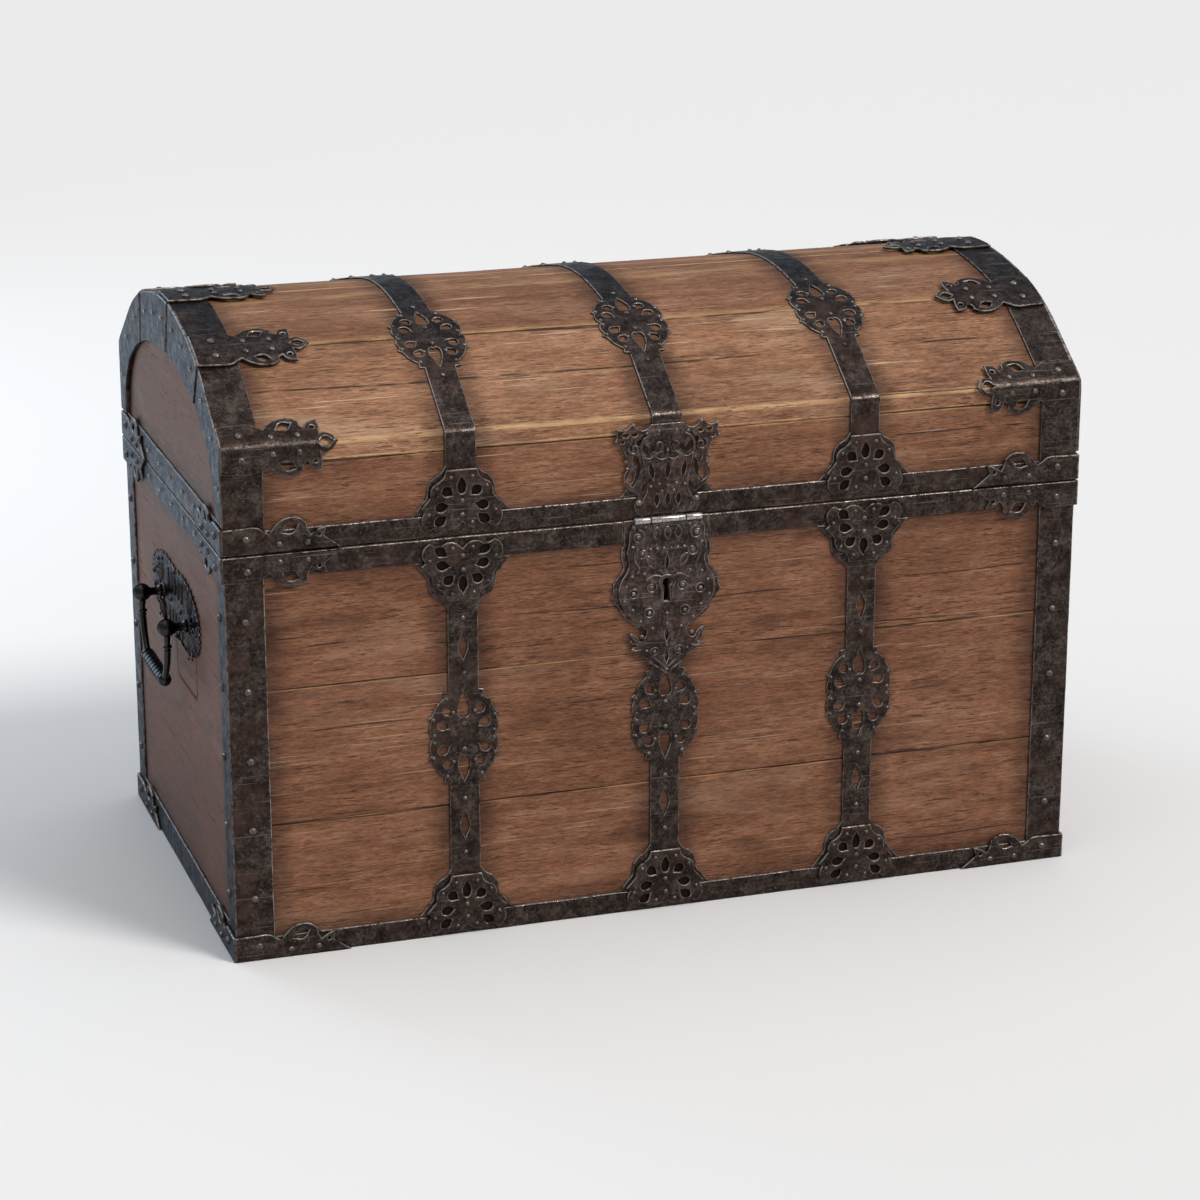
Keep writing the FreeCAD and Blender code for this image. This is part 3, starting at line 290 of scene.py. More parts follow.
def aged_wood_effect():
    """Old waxed planks with the grain along X: streaks, fibres, pores, cracks, stains and scratches."""
    tree, given, made = effect(
        "aged_wood", {"Vector": "Vector", "DirtAndShade": "Float", "WearAndHighlight": "Float", "Seam": "Float"},
        {"Color": "Color", "Roughness": "Float", "Height": "Float"},
    )
    vector = given["Vector"]

    def grain(along, across, detail=3.0, distortion=0.0, shift=0.0):
        size = scaled(tree, vector, (along, across, across), shift=(shift, shift, shift))
        return clouds(tree, size, 1, detail, 0.62, distortion)

    streaks = grain(60, 380, 4, 0.5)
    fibre = grain(130, 900, 2, 0.3, 2)
    bands = grain(7, 120, 4, 0.7, 3)
    figure = grain(3, 34, 3, 1.2, 7)
    patch = grain(5, 9, 4, 0.0, 1)
    blotch = grain(20, 40, 5, 0.4, 5)
    stain = grain(8, 20, 6, 0.5, 11)
    faded = grain(5, 16, 5, 0.4, 13)
    ruddy = grain(38, 90, 4, 0.4, 17)
    tone = weighted(
        tree, (streaks, 0.21), (fibre, 0.22), (bands, 0.15), (figure, 0.13), (patch, 0.16), (blotch, 0.13)
    )
    colour = ramp(tree, tone, WOOD_TONES)
    for layer, low, high, strength, shade, mode in (
        (stain, 0.56, 0.72, 0.55, STAIN, "MULTIPLY"), (faded, 0.54, 0.72, 0.35, FADED_WOOD, "MIX"),
        (ruddy, 0.60, 0.72, 0.45, RUDDY_WOOD, "MIX"),
    ):
        colour = blend(tree, spread(tree, layer, low, high, 0, strength), colour, shade, mode)
    nicks = spread(tree, grain(120, 240, 3, 0.8, 37), 0.66, 0.72)
    nicks = times(tree, nicks, spread(tree, patch, 0.5, 0.58), 0.7)
    colour = blend(tree, nicks, colour, NICKED_WOOD)

    pores = spread(tree, grain(46, 620, 3, 0.3, 19), 0.575, 0.63)
    pores = times(tree, pores, spread(tree, blotch, 0.40, 0.58, 0.35, 1.0))
    check = spread(tree, grain(9, 330, 3, 0.3, 23), 0.665, 0.71)
    axes = place(tree, "ShaderNodeSeparateXYZ", {0: vector}).outputs
    across = weighted(tree, (axes[1], 1), (axes[2], 1), (grain(2.4, 7, 2, 0.0, 29), 0.03))
    rift = spread(tree, calc(tree, "PINGPONG", across, CRACK_SPACING / 2 * MM), 0.9 * MM, 0.2 * MM)
    rift = times(tree, rift, spread(tree, grain(5, 22, 3, 0.0, 31), 0.57, 0.62))
    split = strongest(tree, times(tree, check, 0.8), rift, given["Seam"])
    # Pale wood along the marked edges and folds: wear, with painted highlight on the edges.
    colour = blend(tree, given["WearAndHighlight"], colour, RUBBED_AND_HIGHLIT_WOOD)
    colour = blend(tree, strongest(tree, times(tree, pores, 0.68), times(tree, split, 0.9)), colour, CRACK)
    # Darker beside the irons: dirt and painted shade.
    dirt_and_shade = times(tree, given["DirtAndShade"], spread(tree, stain, 0.25, 0.65, 0.6, 1.1))
    colour = blend(tree, dirt_and_shade, colour, DIRT_AND_SHADE, "MULTIPLY")

    scratches = []
    for turn in SCRATCH_TURNS:
        lines = scaled(tree, vector, (7, 7, 520), turn=(0, turn, 0), shift=(turn, turn, turn))
        scratches.append(spread(tree, clouds(tree, lines, 1, 1, 0.4), 0.71, 0.77))
    scratch = times(tree, strongest(tree, *scratches), spread(tree, patch, 0.42, 0.6))
    colour = blend(tree, times(tree, scratch, 0.55), colour, SCRATCHED_WOOD)
    height = weighted(tree, (streaks, 0.7), (bands, 0.4), (pores, -0.4), (split, -1.2), (scratch, -0.3))
    rough = spread(tree, tone, 0.4, 0.6, 0.44, 0.62)
    join_sockets(tree, (colour, made["Color"]), (rough, made["Roughness"]), (height, made["Height"]))
    return tree


aged_wood = aged_wood_effect()


def material_base(name):
    """A new material's tree, shader and Object coordinates."""
    material = bpy.data.materials.new(name)
    material.use_nodes = True
    tree = material.node_tree
    point = place(tree, "ShaderNodeTexCoord").outputs["Object"]
    return material, tree, tree.nodes["Principled BSDF"], point


def attribute(tree, name):
    return place(tree, "ShaderNodeAttribute", attribute_name=name).outputs["Fac"]


def bumped(tree, shader, height, distance):
    bump = place(tree, "ShaderNodeBump", {"Height": height, "Distance": distance * MM, "Strength": 1.0})
    tree.links.new(bump.outputs["Normal"], shader.inputs["Normal"])


def near(tree, distance, reach):
    """One where a distance in metres is nothing, and nothing from a reach in millimetres on."""
    return spread(tree, distance, reach * MM, 0)


DIRT_AND_SHADE_REACH = 30
BAND_DIRT_AND_SHADE_REACH = 26


def dirt_and_shade_beside(tree, axes, irons, heights):
    """Dirt and painted shade beside upright irons and along the bands."""
    every, first, half = irons
    beside = calc(tree, "PINGPONG", calc(tree, "ADD", axes[0], first * MM), every / 2 * MM)
    beside = calc(tree, "SUBTRACT", beside, half * MM)
    above = calc(tree, "SUBTRACT", axes[2], heights[0] * MM)
    below = calc(tree, "SUBTRACT", heights[1] * MM, axes[2])
    edge = near(tree, calc(tree, "MINIMUM", above, below), BAND_DIRT_AND_SHADE_REACH)
    dirt_and_shade = strongest(tree, near(tree, beside, DIRT_AND_SHADE_REACH), times(tree, edge, 0.8))
    return times(tree, dirt_and_shade, 0.62, attribute(tree, "outside"))


def rubbed_folds(tree, axes, grain, folds):
    """Pale wood along the marked edges, from wear and painted highlight, and along the scuffed folds of the
    boards.
    """
    wear_and_highlight = times(tree, attribute(tree, "wear_and_highlight"), 0.5)
    for height, down, up in folds:
        level = calc(tree, "SUBTRACT", axes[2], height * MM)
        strip = times(tree, spread(tree, level, -down * MM, (1 - down) * MM), near(tree, level, up), 0.68)
        wear_and_highlight = strongest(tree, wear_and_highlight, strip)
    rubbed_and_lit = clouds(tree, scaled(tree, grain, (16, 120, 120)), 1, 4, 0.6)
    return times(tree, wear_and_highlight, spread(tree, rubbed_and_lit, 0.28, 0.6))


def open_seams(tree, axes, grain, wander, seams):
    """Dark lines that come and go where the joints of the boards have opened."""
    opened = clouds(tree, scaled(tree, grain, (7, 30, 30)), 1, 3, 0.6)
    seam = 0.0
    for height, share in seams:
        away = calc(tree, "SUBTRACT", calc(tree, "ADD", axes[2], wander), height * MM)
        line = spread(tree, calc(tree, "ABSOLUTE", away), 1.0 * MM, 0.3 * MM)
        line = times(tree, line, spread(tree, opened, 0.62 - 0.3 * share, 0.70 - 0.3 * share))
        seam = strongest(tree, line, seam)
    return seam


SCUFF_BEND = 22
SCUFF_REACH = 5.5
SCUFF_FADE = 30
SCUFFED_WOOD = (0.10, 0.029, 0.011)


def handle_scuff(tree, axes, wander, scuff):
    """The line that a swinging handle has scraped into the boards, a round-bottomed mark open at its top."""
    middle, half_width, low, high = scuff
    aside = calc(tree, "ABSOLUTE", calc(tree, "SUBTRACT", axes[0], middle * MM))
    within = calc(tree, "SUBTRACT", half_width * MM, aside)
    risen = calc(tree, "SUBTRACT", axes[2], low * MM)
    within = calc(tree, "ADD", calc(tree, "SMOOTH_MIN", within, risen, SCUFF_BEND * MM), wander)
    line = near(tree, calc(tree, "ABSOLUTE", within), SCUFF_REACH)
    return times(tree, line, spread(tree, axes[2], high * MM, (high - SCUFF_FADE) * MM))


BOARD_SHIFT = (1.71, 0.37, 0.53)
SEAM_WANDER = 8
PAINTED_LIGHT_WOOD = (1.55, 1.78, 1.84)


def wood_material(name, grain_turn, irons, heights, tint, seams=(), folds=(), scuff=None):
    """Aged planks, darker beside the irons with dirt and painted shade.

    irons are the distance between upright irons along the grain, where the first stands and half its width;
    heights are the lower and upper edges left bare by the bands. seams are heights of board joints with the
    share that is open, and folds heights that are scuffed pale with their reach down and up. scuff is a mark
    that a swinging handle has scraped in: its middle along the grain, half its width, its lower and upper
    end.
    tint is multiplied over all of it: painted light where it is above one, painted shade where it is below
    one.
    """
    material, tree, shader, point = material_base(name)
    turned = scaled(tree, point, (1, 1, 1), turn=(0, 0, math.radians(grain_turn)))
    moved = {0: BOARD_SHIFT, "Scale": attribute(tree, "board")}
    offset = place(tree, "ShaderNodeVectorMath", moved, operation="SCALE").outputs[0]
    grain = place(tree, "ShaderNodeVectorMath", {0: turned, 1: offset}, operation="ADD").outputs[0]
    axes = place(tree, "ShaderNodeSeparateXYZ", {0: turned}).outputs
    wander = clouds(tree, scaled(tree, grain, (3.5, 3.5, 3.5)), 1, 3, 0.5)
    wander = times(tree, calc(tree, "SUBTRACT", wander, 0.5), SEAM_WANDER * MM)
    skin = place(tree, "ShaderNodeGroup", {
        "Vector": grain, "DirtAndShade": dirt_and_shade_beside(tree, axes, irons, heights),
        "WearAndHighlight": rubbed_folds(tree, axes, grain, folds), "Seam": open_seams(tree, axes, grain, wander, seams),
    }, node_tree=aged_wood).outputs
    # The tint is painted light on the lid and painted shade, darker and bluer, on the ends and gables.
    colour = blend(tree, 1.0, skin["Color"], tint, "MULTIPLY")
    # Painted light: the staves that face up are made paler by their share of it.
    colour = blend(tree, attribute(tree, "painted_light"), colour, PAINTED_LIGHT_WOOD, "MULTIPLY")
    rough = skin["Roughness"]
    if scuff:
        line = handle_scuff(tree, axes, wander, scuff)
        colour = blend(tree, times(tree, line, 0.9), colour, SCUFFED_WOOD)
        rough = strongest(tree, rough, line)
    join_sockets(tree, (rough, shader.inputs["Roughness"]), (colour, shader.inputs["Base Color"]))
    shader.inputs["Specular IOR Level"].default_value = 0.2
    bumped(tree, shader, skin["Height"], 0.7)
    return material


BOARD_SEAMS = ((155, 0.75), (310, 0.75))
STRAPS_ALONG = (STRAP_SPACING, 0, 19)
ANGLES_ACROSS = (516, 258, 18)
END_BARE = (35, RIM_BAND_LOW)
# The wood of the ends is darkened and cooled as painted shade.
END_PAINTED_SHADE = (0.66, 0.64, 0.78)
HANDLE_SCUFF = (43, 54, 246, 325)
front_wood = wood_material("front_wood", 0, STRAPS_ALONG, (25, RIM_BAND_LOW), (1, 1, 1), BOARD_SEAMS)
end_wood = wood_material("end_wood", 90, ANGLES_ACROSS, END_BARE, END_PAINTED_SHADE, BOARD_SEAMS)
scuffed_wood = wood_material(
    "scuffed_wood", 90, ANGLES_ACROSS, END_BARE, END_PAINTED_SHADE, BOARD_SEAMS, scuff=HANDLE_SCUFF
)

for node, number in CHEST_BOARDS.items():
    boards = copied_solid(node, f"worn_{node}")
    rounded(boards, BOARD_EDGE)
    uneven(boards, BOARD_STEP, BOARD_WANDER)
    mark_wear_and_highlight(boards, BOARD_WEAR_AND_HIGHLIGHT)
    mark(boards, "board", number)
    mark_outside(boards)
    finish = {"left_end_boards": scuffed_wood, "right_end_boards": end_wood}.get(node, front_wood)
    fitted(boards, finish, "chest", "chest_wood", node)

# Bands of the chest: flat forged iron along the rim, along the foot and in three straps up the back, and an
# angle bent over each corner. All are nailed through the boards; rust was rubbed off, and the edges shine.

BAND_EDGE = 1.3
BAND_STEP = 18
BAND_WANDER = 0.45
BAND_WAVES = 30
BAND_WEAR_AND_HIGHLIGHT = 1.5
BAND_SHINE = 1.3
ANGLE_EDGE = 1.4
ANGLE_SHINE = 1.5
IRON_TONES = [
    (0.38, (0.012, 0.0082, 0.0068)), (0.47, (0.028, 0.0190, 0.0157)), (0.54, (0.050, 0.0357, 0.0300)),
    (0.62, (0.085, 0.0645, 0.0560)),
]
BARE_AND_HIGHLIT_TONES = [(0.34, (0.16, 0.15, 0.143)), (0.48, (0.30, 0.285, 0.27)), (0.62, (0.44, 0.42, 0.40))]
RUST = (0.056, 0.028, 0.019)
RUBBED_AND_HIGHLIT_IRON = (0.31, 0.275, 0.25)
PAINTED_SHADE_BLACK = (0.026, 0.017, 0.0135)
IRON_SCRATCH_TURNS = ((0.3, 0.8, 0.2), (-0.4, -0.5, 1.1))


def forged_iron_effect():
    """Dark forged iron: mottled scale, brown bloom, pits, specks of bare metal, pale edges from wear and
    painted highlight, bare metal from polish and painted highlight, and black painted shade.
    """
    tree, given, made = effect(
        "forged_iron",
        {"Vector": "Vector", "WearAndHighlight": "Float", "PolishAndHighlight": "Float", "Bloom": "Float", "PaintedShade": "Float"},
        {"Color": "Color", "Roughness": "Float", "Metallic": "Float", "Height": "Float"},
    )
    vector, polish_and_highlight, painted_shade = given["Vector"], given["PolishAndHighlight"], given["PaintedShade"]
    coarse = clouds(tree, vector, 62, 5, 0.62, 0.4)
    fine = clouds(tree, vector, 240, 4, 0.62)
    cloud = clouds(tree, vector, 17, 5, 0.62, 0.5)
    pits = clouds(tree, vector, 330, 4, 0.65)
    grit = clouds(tree, vector, 430, 3, 0.6)
    dents = clouds(tree, vector, 110, 3, 0.55)
    rubbed_and_lit = clouds(tree, vector, 130, 4, 0.6)
    mottle = weighted(tree, (coarse, 0.58), (fine, 0.42))
    rust = times(tree, spread(tree, cloud, 0.50, 0.70), given["Bloom"])
    colour = blend(tree, rust, ramp(tree, mottle, IRON_TONES), RUST)
    specks = times(tree, spread(tree, grit, 0.57, 0.68), spread(tree, cloud, 0.64, 0.36))
    for turn in IRON_SCRATCH_TURNS:
        lines = clouds(tree, scaled(tree, vector, (14, 14, 560), turn=turn), 1, 1, 0.4)
        specks = strongest(tree, specks, spread(tree, lines, 0.69, 0.78))
    # Pale metal along the marked edges: wear and painted highlight.
    wear_and_highlight = times(tree, given["WearAndHighlight"], spread(tree, rubbed_and_lit, 0.32, 0.60))
    bright = calc(tree, "MAXIMUM", times(tree, wear_and_highlight, 0.72), times(tree, specks, 0.26), clamp=True)
    colour = blend(tree, bright, colour, RUBBED_AND_HIGHLIT_IRON)
    # Pale bare metal from polish and painted highlight.
    colour = blend(tree, polish_and_highlight, colour, ramp(tree, grit, BARE_AND_HIGHLIT_TONES))
    # Black painted shade where a shade sheet lies.
    colour = blend(tree, painted_shade, colour, PAINTED_SHADE_BLACK)
    rough = spread(tree, mottle, 0.38, 0.62, 0.44, 0.29)
    rough = weighted(tree, (rough, 1), (rust, 0.14), (bright, -0.08), (polish_and_highlight, -0.12))
    rough = calc(tree, "MULTIPLY_ADD", painted_shade, 0.4, rough, clamp=True)
    metal = calc(tree, "ADD", spread(tree, rust, 0, 1, 0.8, 0.3), painted_shade, clamp=True)
    height = times(tree, weighted(tree, (pits, 0.5), (dents, 0.8)), spread(tree, polish_and_highlight, 0, 0.8, 1, 0.3))
    join_sockets(
        tree, (colour, made["Color"]), (rough, made["Roughness"]), (metal, made["Metallic"]),
        (height, made["Height"]),
    )
    return tree


forged_iron = forged_iron_effect()
COLD_RIM = (0.52, 0.62, 0.72)


def iron_material(name, bloom, relief=0.95, tint=(1, 1, 1), gloss=0.0, wax=0.0, rim=COLD_RIM):
    """Forged iron: gloss is taken off its roughness, wax is its clear coat and rim the tint of its edges."""
    material, tree, shader, point = material_base(name)
    skin = place(tree, "ShaderNodeGroup", {
        "Vector": point, "Bloom": bloom, "WearAndHighlight": attribute(tree, "wear_and_highlight"),
        "PolishAndHighlight": attribute(tree, "polish_and_highlight"), "PaintedShade": attribute(tree, "painted_shade"),
    }, node_tree=forged_iron).outputs
    join_sockets(
        tree, (blend(tree, 1.0, skin["Color"], tint, "MULTIPLY"), shader.inputs["Base Color"]),
        (calc(tree, "SUBTRACT", skin["Roughness"], gloss), shader.inputs["Roughness"]),
        (skin["Metallic"], shader.inputs["Metallic"]),
    )
    shader.inputs["Specular Tint"].default_value = (*rim, 1)
    shader.inputs["Coat Weight"].default_value = wax
    shader.inputs["Coat Roughness"].default_value = 0.2
    shader.inputs["Coat IOR"].default_value = 1.7
    shader.inputs["Specular IOR Level"].default_value = 0.3
    bumped(tree, shader, skin["Height"], relief)
    return material


band_iron = iron_material("band_iron", bloom=0.65)

for node in (
    "front_rim_bands", "back_rim_band", "end_rim_bands", "front_foot_band", "back_foot_band",
    "end_foot_bands", "front_corner_angles", "back_corner_angles", "back_straps",
):
    # Their edges are marked pale, as wear and as painted highlight where they look up; edges that look down
    # stay dark as painted shade.
    edge, shine = (ANGLE_EDGE, ANGLE_SHINE) if "angles" in node else (BAND_EDGE, BAND_SHINE)
    band = copied_solid(node, f"forged_{node}")
    rounded(band, edge)
    uneven(band, BAND_STEP, BAND_WANDER, BAND_WAVES)
    mark_wear_and_highlight(band, BAND_WEAR_AND_HIGHLIGHT, shine)
    fitted(band, band_iron, "chest", "band_iron", node)

# Nails of the corner angles and end bands: square shanks clenched inside, with low domed heads that the smith
# struck. Five stand down each leg of an angle, and five small ones along each rim band of an end.

NAIL_HEIGHTS = (72, 152, 232, 312, 391)
FRONT_Y = 276
END_X = 500
SIDES = ((0, 0, -FRONT_Y), (180, 0, FRONT_Y), (-90, -END_X, 0), (90, END_X, 0))
LEG_MIDDLES = ((-477.5, 477.5), (-477.5, 477.5), (-257, 249), (-249, 257))
CORNER_NAIL = (4.8, 3.2)
# The third number is polish, high so that the heads on the ends show as painted highlights.
END_NAIL = (2.9, 2.2, 0.85)
END_NAIL_PLACES = (-128, -64, 0, 64, 128)


def formed(add, scale=(1, 1, 1), **settings):
    """A new piece from one of Blender's basic forms, stretched along its own axes."""
    bpy.ops.object.select_all(action="DESELECT")
    add(**settings)
    piece = bpy.context.object
    piece.scale = scale
    bpy.ops.object.transform_apply()
    return piece


def dome(radius, rise, polish_and_highlight):
    """One domed head on z = 0, marked pale all over for wear and painted highlight, with a share of polish
    and painted highlight.
    """
    size = (radius * MM, radius * MM, rise * MM)
    head = formed(bpy.ops.mesh.primitive_uv_sphere_add, size, segments=10, ring_count=8, radius=1)
    bpy.ops.object.mode_set(mode="EDIT")
    bpy.ops.mesh.select_all(action="SELECT")
    bpy.ops.mesh.bisect(plane_co=(0, 0, -0.05 * rise * MM), plane_no=(0, 0, 1), clear_inner=True)
    bpy.ops.object.mode_set(mode="OBJECT")
    bpy.ops.object.shade_smooth()
    mark(head, "wear_and_highlight", 0.5)
    mark(head, "polish_and_highlight", polish_and_highlight)
    return head


def joined(name, pieces):
    """Join pieces into the first one."""
    pick(*pieces)
    if len(pieces) > 1:
        bpy.ops.object.join()
    pieces[0].name = name
    return pieces[0]


def twin(piece, matrix):
    """A copy of a piece with its own mesh, moved by a matrix."""
    other = piece.copy()
    other.data = piece.data.copy()
    other.data.transform(matrix)
    bpy.context.scene.collection.objects.link(other)
    return other


def shift(x, y, z):
    """A move by millimetres."""
    return Matrix.Translation((x * MM, y * MM, z * MM))


def heads(name, places, radius, rise, polish_and_highlight=0.1):
    """Domed heads at (x, y, z) places on a flat plate, joined."""
    head = dome(radius, rise, polish_and_highlight)
    copies = [twin(head, shift(*spot)) for spot in places]
    bpy.data.objects.remove(head)
    return joined(name, copies)


def stood(piece, turn, spot):
    """Stand a flat piece upright with its face to the front, turned about the vertical, at a spot."""
    upright = Matrix.Rotation(math.radians(90), 4, "X")
    piece.data.transform(shift(*spot) @ Matrix.Rotation(math.radians(turn), 4, "Z") @ upright)
    return piece


corner_nails = []
for (turn, x, y), legs in zip(SIDES, LEG_MIDDLES):
    places = [(leg, z, 0) for leg in legs for z in NAIL_HEIGHTS]
    corner_nails.append(stood(heads("nails", places, *CORNER_NAIL), turn, (x, y, 0)))
nails = joined("corner_nails", corner_nails)
fitted(nails, band_iron, "chest", "band_iron")

for name, z, body in (("end_rim_nails", 452, "chest"), ("lid_end_rim_nails", 483, "lid")):
    places = [(y, z, 0) for y in END_NAIL_PLACES]
    rows = [stood(heads(name, places, *END_NAIL), turn, (x, 0, 0)) for turn, x, _ in SIDES[2:]]
    fitted(joined(name, rows), band_iron, body, "band_iron")

# Front straps: three flat irons from the foot to the rim, spread into a pierced rosette at their middle and
# into a broad foot at their ends. Each is chiselled out of one sheet, filed and nailed on.

OUTER_STRAPS = (-STRAP_SPACING, STRAP_SPACING)
STRAP_X = (-STRAP_SPACING, 0, STRAP_SPACING)
STRAP_HALF = 17.6
BAND = 2.5
PLATE_EDGE = 1.2
FLAT_FACE = 0.97
ROSETTE_PIN = (3.3, 2.5)
ROSETTE_BEAD = (2.5, 1.9)
STRAP_PIN = (3.2, 2.4)


def mirror_points(right):
    """A closed outline from its right half, bottom to top; points are (x, y, sharp)."""
    return right + [(-x, y, sharp) for x, y, sharp in reversed(right) if abs(x) > 0.01]


def teardrop(centre, angle, start, length, width):
    """A pointed piercing that widens away from a centre."""
    turn = math.radians(angle)
    points = []
    for along, across, sharp in ((0, 0, True), (0.62, -0.5, False), (1, 0, False), (0.62, 0.5, False)):
        out = start + along * length
        aside = across * width
        points.append((
            centre[0] + out * math.cos(turn) - aside * math.sin(turn),
            centre[1] + out * math.sin(turn) + aside * math.cos(turn), sharp,
        ))
    return points


def oval(x, y, length, width, lean=0):
    """A slot with a point at each end, upright unless it leans."""
    turn = math.radians(lean)
    points = []
    for across, along, sharp in ((0, -0.5, True), (0.5, 0, False), (0, 0.5, True), (-0.5, 0, False)):
        aside, up = across * width, along * length
        points.append((
            x + aside * math.cos(turn) - up * math.sin(turn),
            y + aside * math.sin(turn) + up * math.cos(turn), sharp,
        ))
    return points


def drawn_curve(name, paths, closed, dimensions, height=0):
    """A curve object through (x, y, sharp) points; sharp points are corners."""
    curve = bpy.data.curves.new(name, "CURVE")
    curve.dimensions = dimensions
    for path in paths:
        spline = curve.splines.new("BEZIER")
        spline.bezier_points.add(len(path) - 1)
        spline.use_cyclic_u = closed
        for point, (_, _, sharp) in zip(spline.bezier_points, path):
            point.handle_left_type = point.handle_right_type = "VECTOR" if sharp else "AUTO"
        for point, (x, y, _) in zip(spline.bezier_points, path):
            point.co = (x * MM, y * MM, height * MM)
    piece = bpy.data.objects.new(name, curve)
    bpy.context.scene.collection.objects.link(piece)
    return piece


def flat_plate(name, outline, holes, thickness, edge=PLATE_EDGE, steps=5):
    """A plate cut from sheet iron with its piercings, its back on z = 0 and its edges filed round."""
    piece = drawn_curve(name, [outline] + holes, True, "2D")
    curve = piece.data
    curve.fill_mode = "BOTH"
    curve.extrude = (thickness / 2 - edge) * MM
    curve.bevel_depth = edge * MM
    curve.bevel_resolution = 2
    curve.offset = -edge * MM
    curve.resolution_u = steps
    pick(piece)
    bpy.ops.object.convert(target="MESH")
    piece = bpy.context.object
    piece.data.transform(shift(0, 0, thickness / 2))
    bpy.ops.object.mode_set(mode="EDIT")
    bpy.ops.mesh.select_all(action="SELECT")
    bpy.ops.mesh.remove_doubles(threshold=MERGE_WITHIN * MM)
    bpy.ops.mesh.normals_make_consistent(inside=False)
    bpy.ops.object.mode_set(mode="OBJECT")
    bpy.ops.object.shade_flat()
    # The slanting faces of the filed edges are marked for wear and painted highlight.
    layer = piece.data.attributes.new("wear_and_highlight", "FLOAT", "FACE")
    layer.data.foreach_set("value", [float(abs(face.normal.z) < FLAT_FACE) for face in piece.data.polygons])
    return piece


ROSETTE_EDGE = [
    (STRAP_HALF, -54, True), (23.6, -53, True), (22.6, -46.5, True), (30.5, -39, False), (35.5, -29.8, False),
    (37, -26.5, True), (41, -24.2, True), (38, -19.5, True), (40, -12.1, False), (38.7, -3.7, False),
    (36.4, 0, True),
]
ROSETTE_WEDGES = ((31, 20.5, 13.5, 10.2), (59, 29.3, 12.1, 9.8))
ROSETTE_BEADS = ((34.5, 4.2), (35.5, 22.3), (20, 45.1), (12.4, 28.8))
TULIP = [
    (0, 52, True), (4.2, 42, False), (6.5, 31.6, False), (5.1, 23.7, False), (2.3, 22.3, True),
    (0, 24.6, True),
]


def rosette_side():
    """The right edge of a rosette, bottom to top."""
    return ROSETTE_EDGE + [(x, -y, sharp) for x, y, sharp in reversed(ROSETTE_EDGE[:-1])]


def rosette_holes():
    holes = []
    for angle, start, length, width in ROSETTE_WEDGES:
        for turn in (angle, 180 - angle, 180 + angle, -angle):
            holes.append(teardrop((0, 0), turn, start, length, width))
    upper = [(-x, y, sharp) for x, y, sharp in TULIP[1:-1]]
    tulip = TULIP + list(reversed(upper))
    return holes + [tulip, [(x, -y, sharp) for x, y, sharp in tulip]]


def lifted(points, up):
    return [(x, y + up, sharp) for x, y, sharp in points]


def rosette_relief(y):
    """What stands out of a rosette: two nails in its heart and the beads along its rim."""
    pins = heads("pins", [(0, y - 15, BAND), (0, y + 15, BAND)], *ROSETTE_PIN)
    beads = []
    for x, up in ROSETTE_BEADS:
        beads += [(side * x, y + level * up, BAND) for side in (-1, 1) for level in (-1, 1)]
    return [pins, heads("beads", beads, *ROSETTE_BEAD)]


FLARE = [
    (56, 0, True), (48.5, 8, False), (44, 14.5, True), (39.5, 19, False), (38.5, 28, True), (36, 36, False),
    (30.5, 42, True), (23.5, 46, False), (STRAP_HALF, 54, True),
]
STRAP_LOW = 25
ROSETTE_Z = 235
LOCK_PLATE_Z = 335
ALMOND_DISTANCE = 105
PIN_DISTANCES = (73.5, 137.5)


def front_strap(name, high, flared, slots):
    """A strap on the XY plane, its foot at y = 0; slots are the ends of it, -1 or 1, that are pierced."""
    centre = ROSETTE_Z - STRAP_LOW
    length = high - STRAP_LOW
    right = FLARE + lifted(rosette_side(), centre)
    if flared:
        right += [(x, length - y, sharp) for x, y, sharp in reversed(FLARE)]
    else:
        right.append((STRAP_HALF, length, True))
    holes = [lifted(hole, centre) for hole in rosette_holes()]
    holes += [oval(0, centre + side * ALMOND_DISTANCE, 30, 10) for side in slots]
    strap = flat_plate(name, mirror_points(right), holes, BAND)
    pins = [(0, centre + side * reach, BAND) for side in slots for reach in PIN_DISTANCES]
    return joined(name, [strap, heads("pins", pins, *STRAP_PIN)] + rosette_relief(centre))


for hand, x, high, flared, slots in (
    ("left", -STRAP_SPACING, RIM_BAND_LOW, True, (-1, 1)), ("centre", 0, LOCK_PLATE_Z, False, (-1,)),
    ("right", STRAP_SPACING, RIM_BAND_LOW, True, (-1, 1)),
):
    strap = front_strap(f"front_strap_ironwork_{hand}", high, flared, slots)
    stood(strap, 0, (x, BAND - FRONT_Y, STRAP_LOW))
    fitted(strap, band_iron, "chest", "band_iron", f"front_strap_{hand}")

# Palmettes: pierced fans of thin sheet over the crossings of straps and bands, cut with a chisel, their
# piercings and lobes raised by hammering from behind, and nailed through the middle and along the sides.

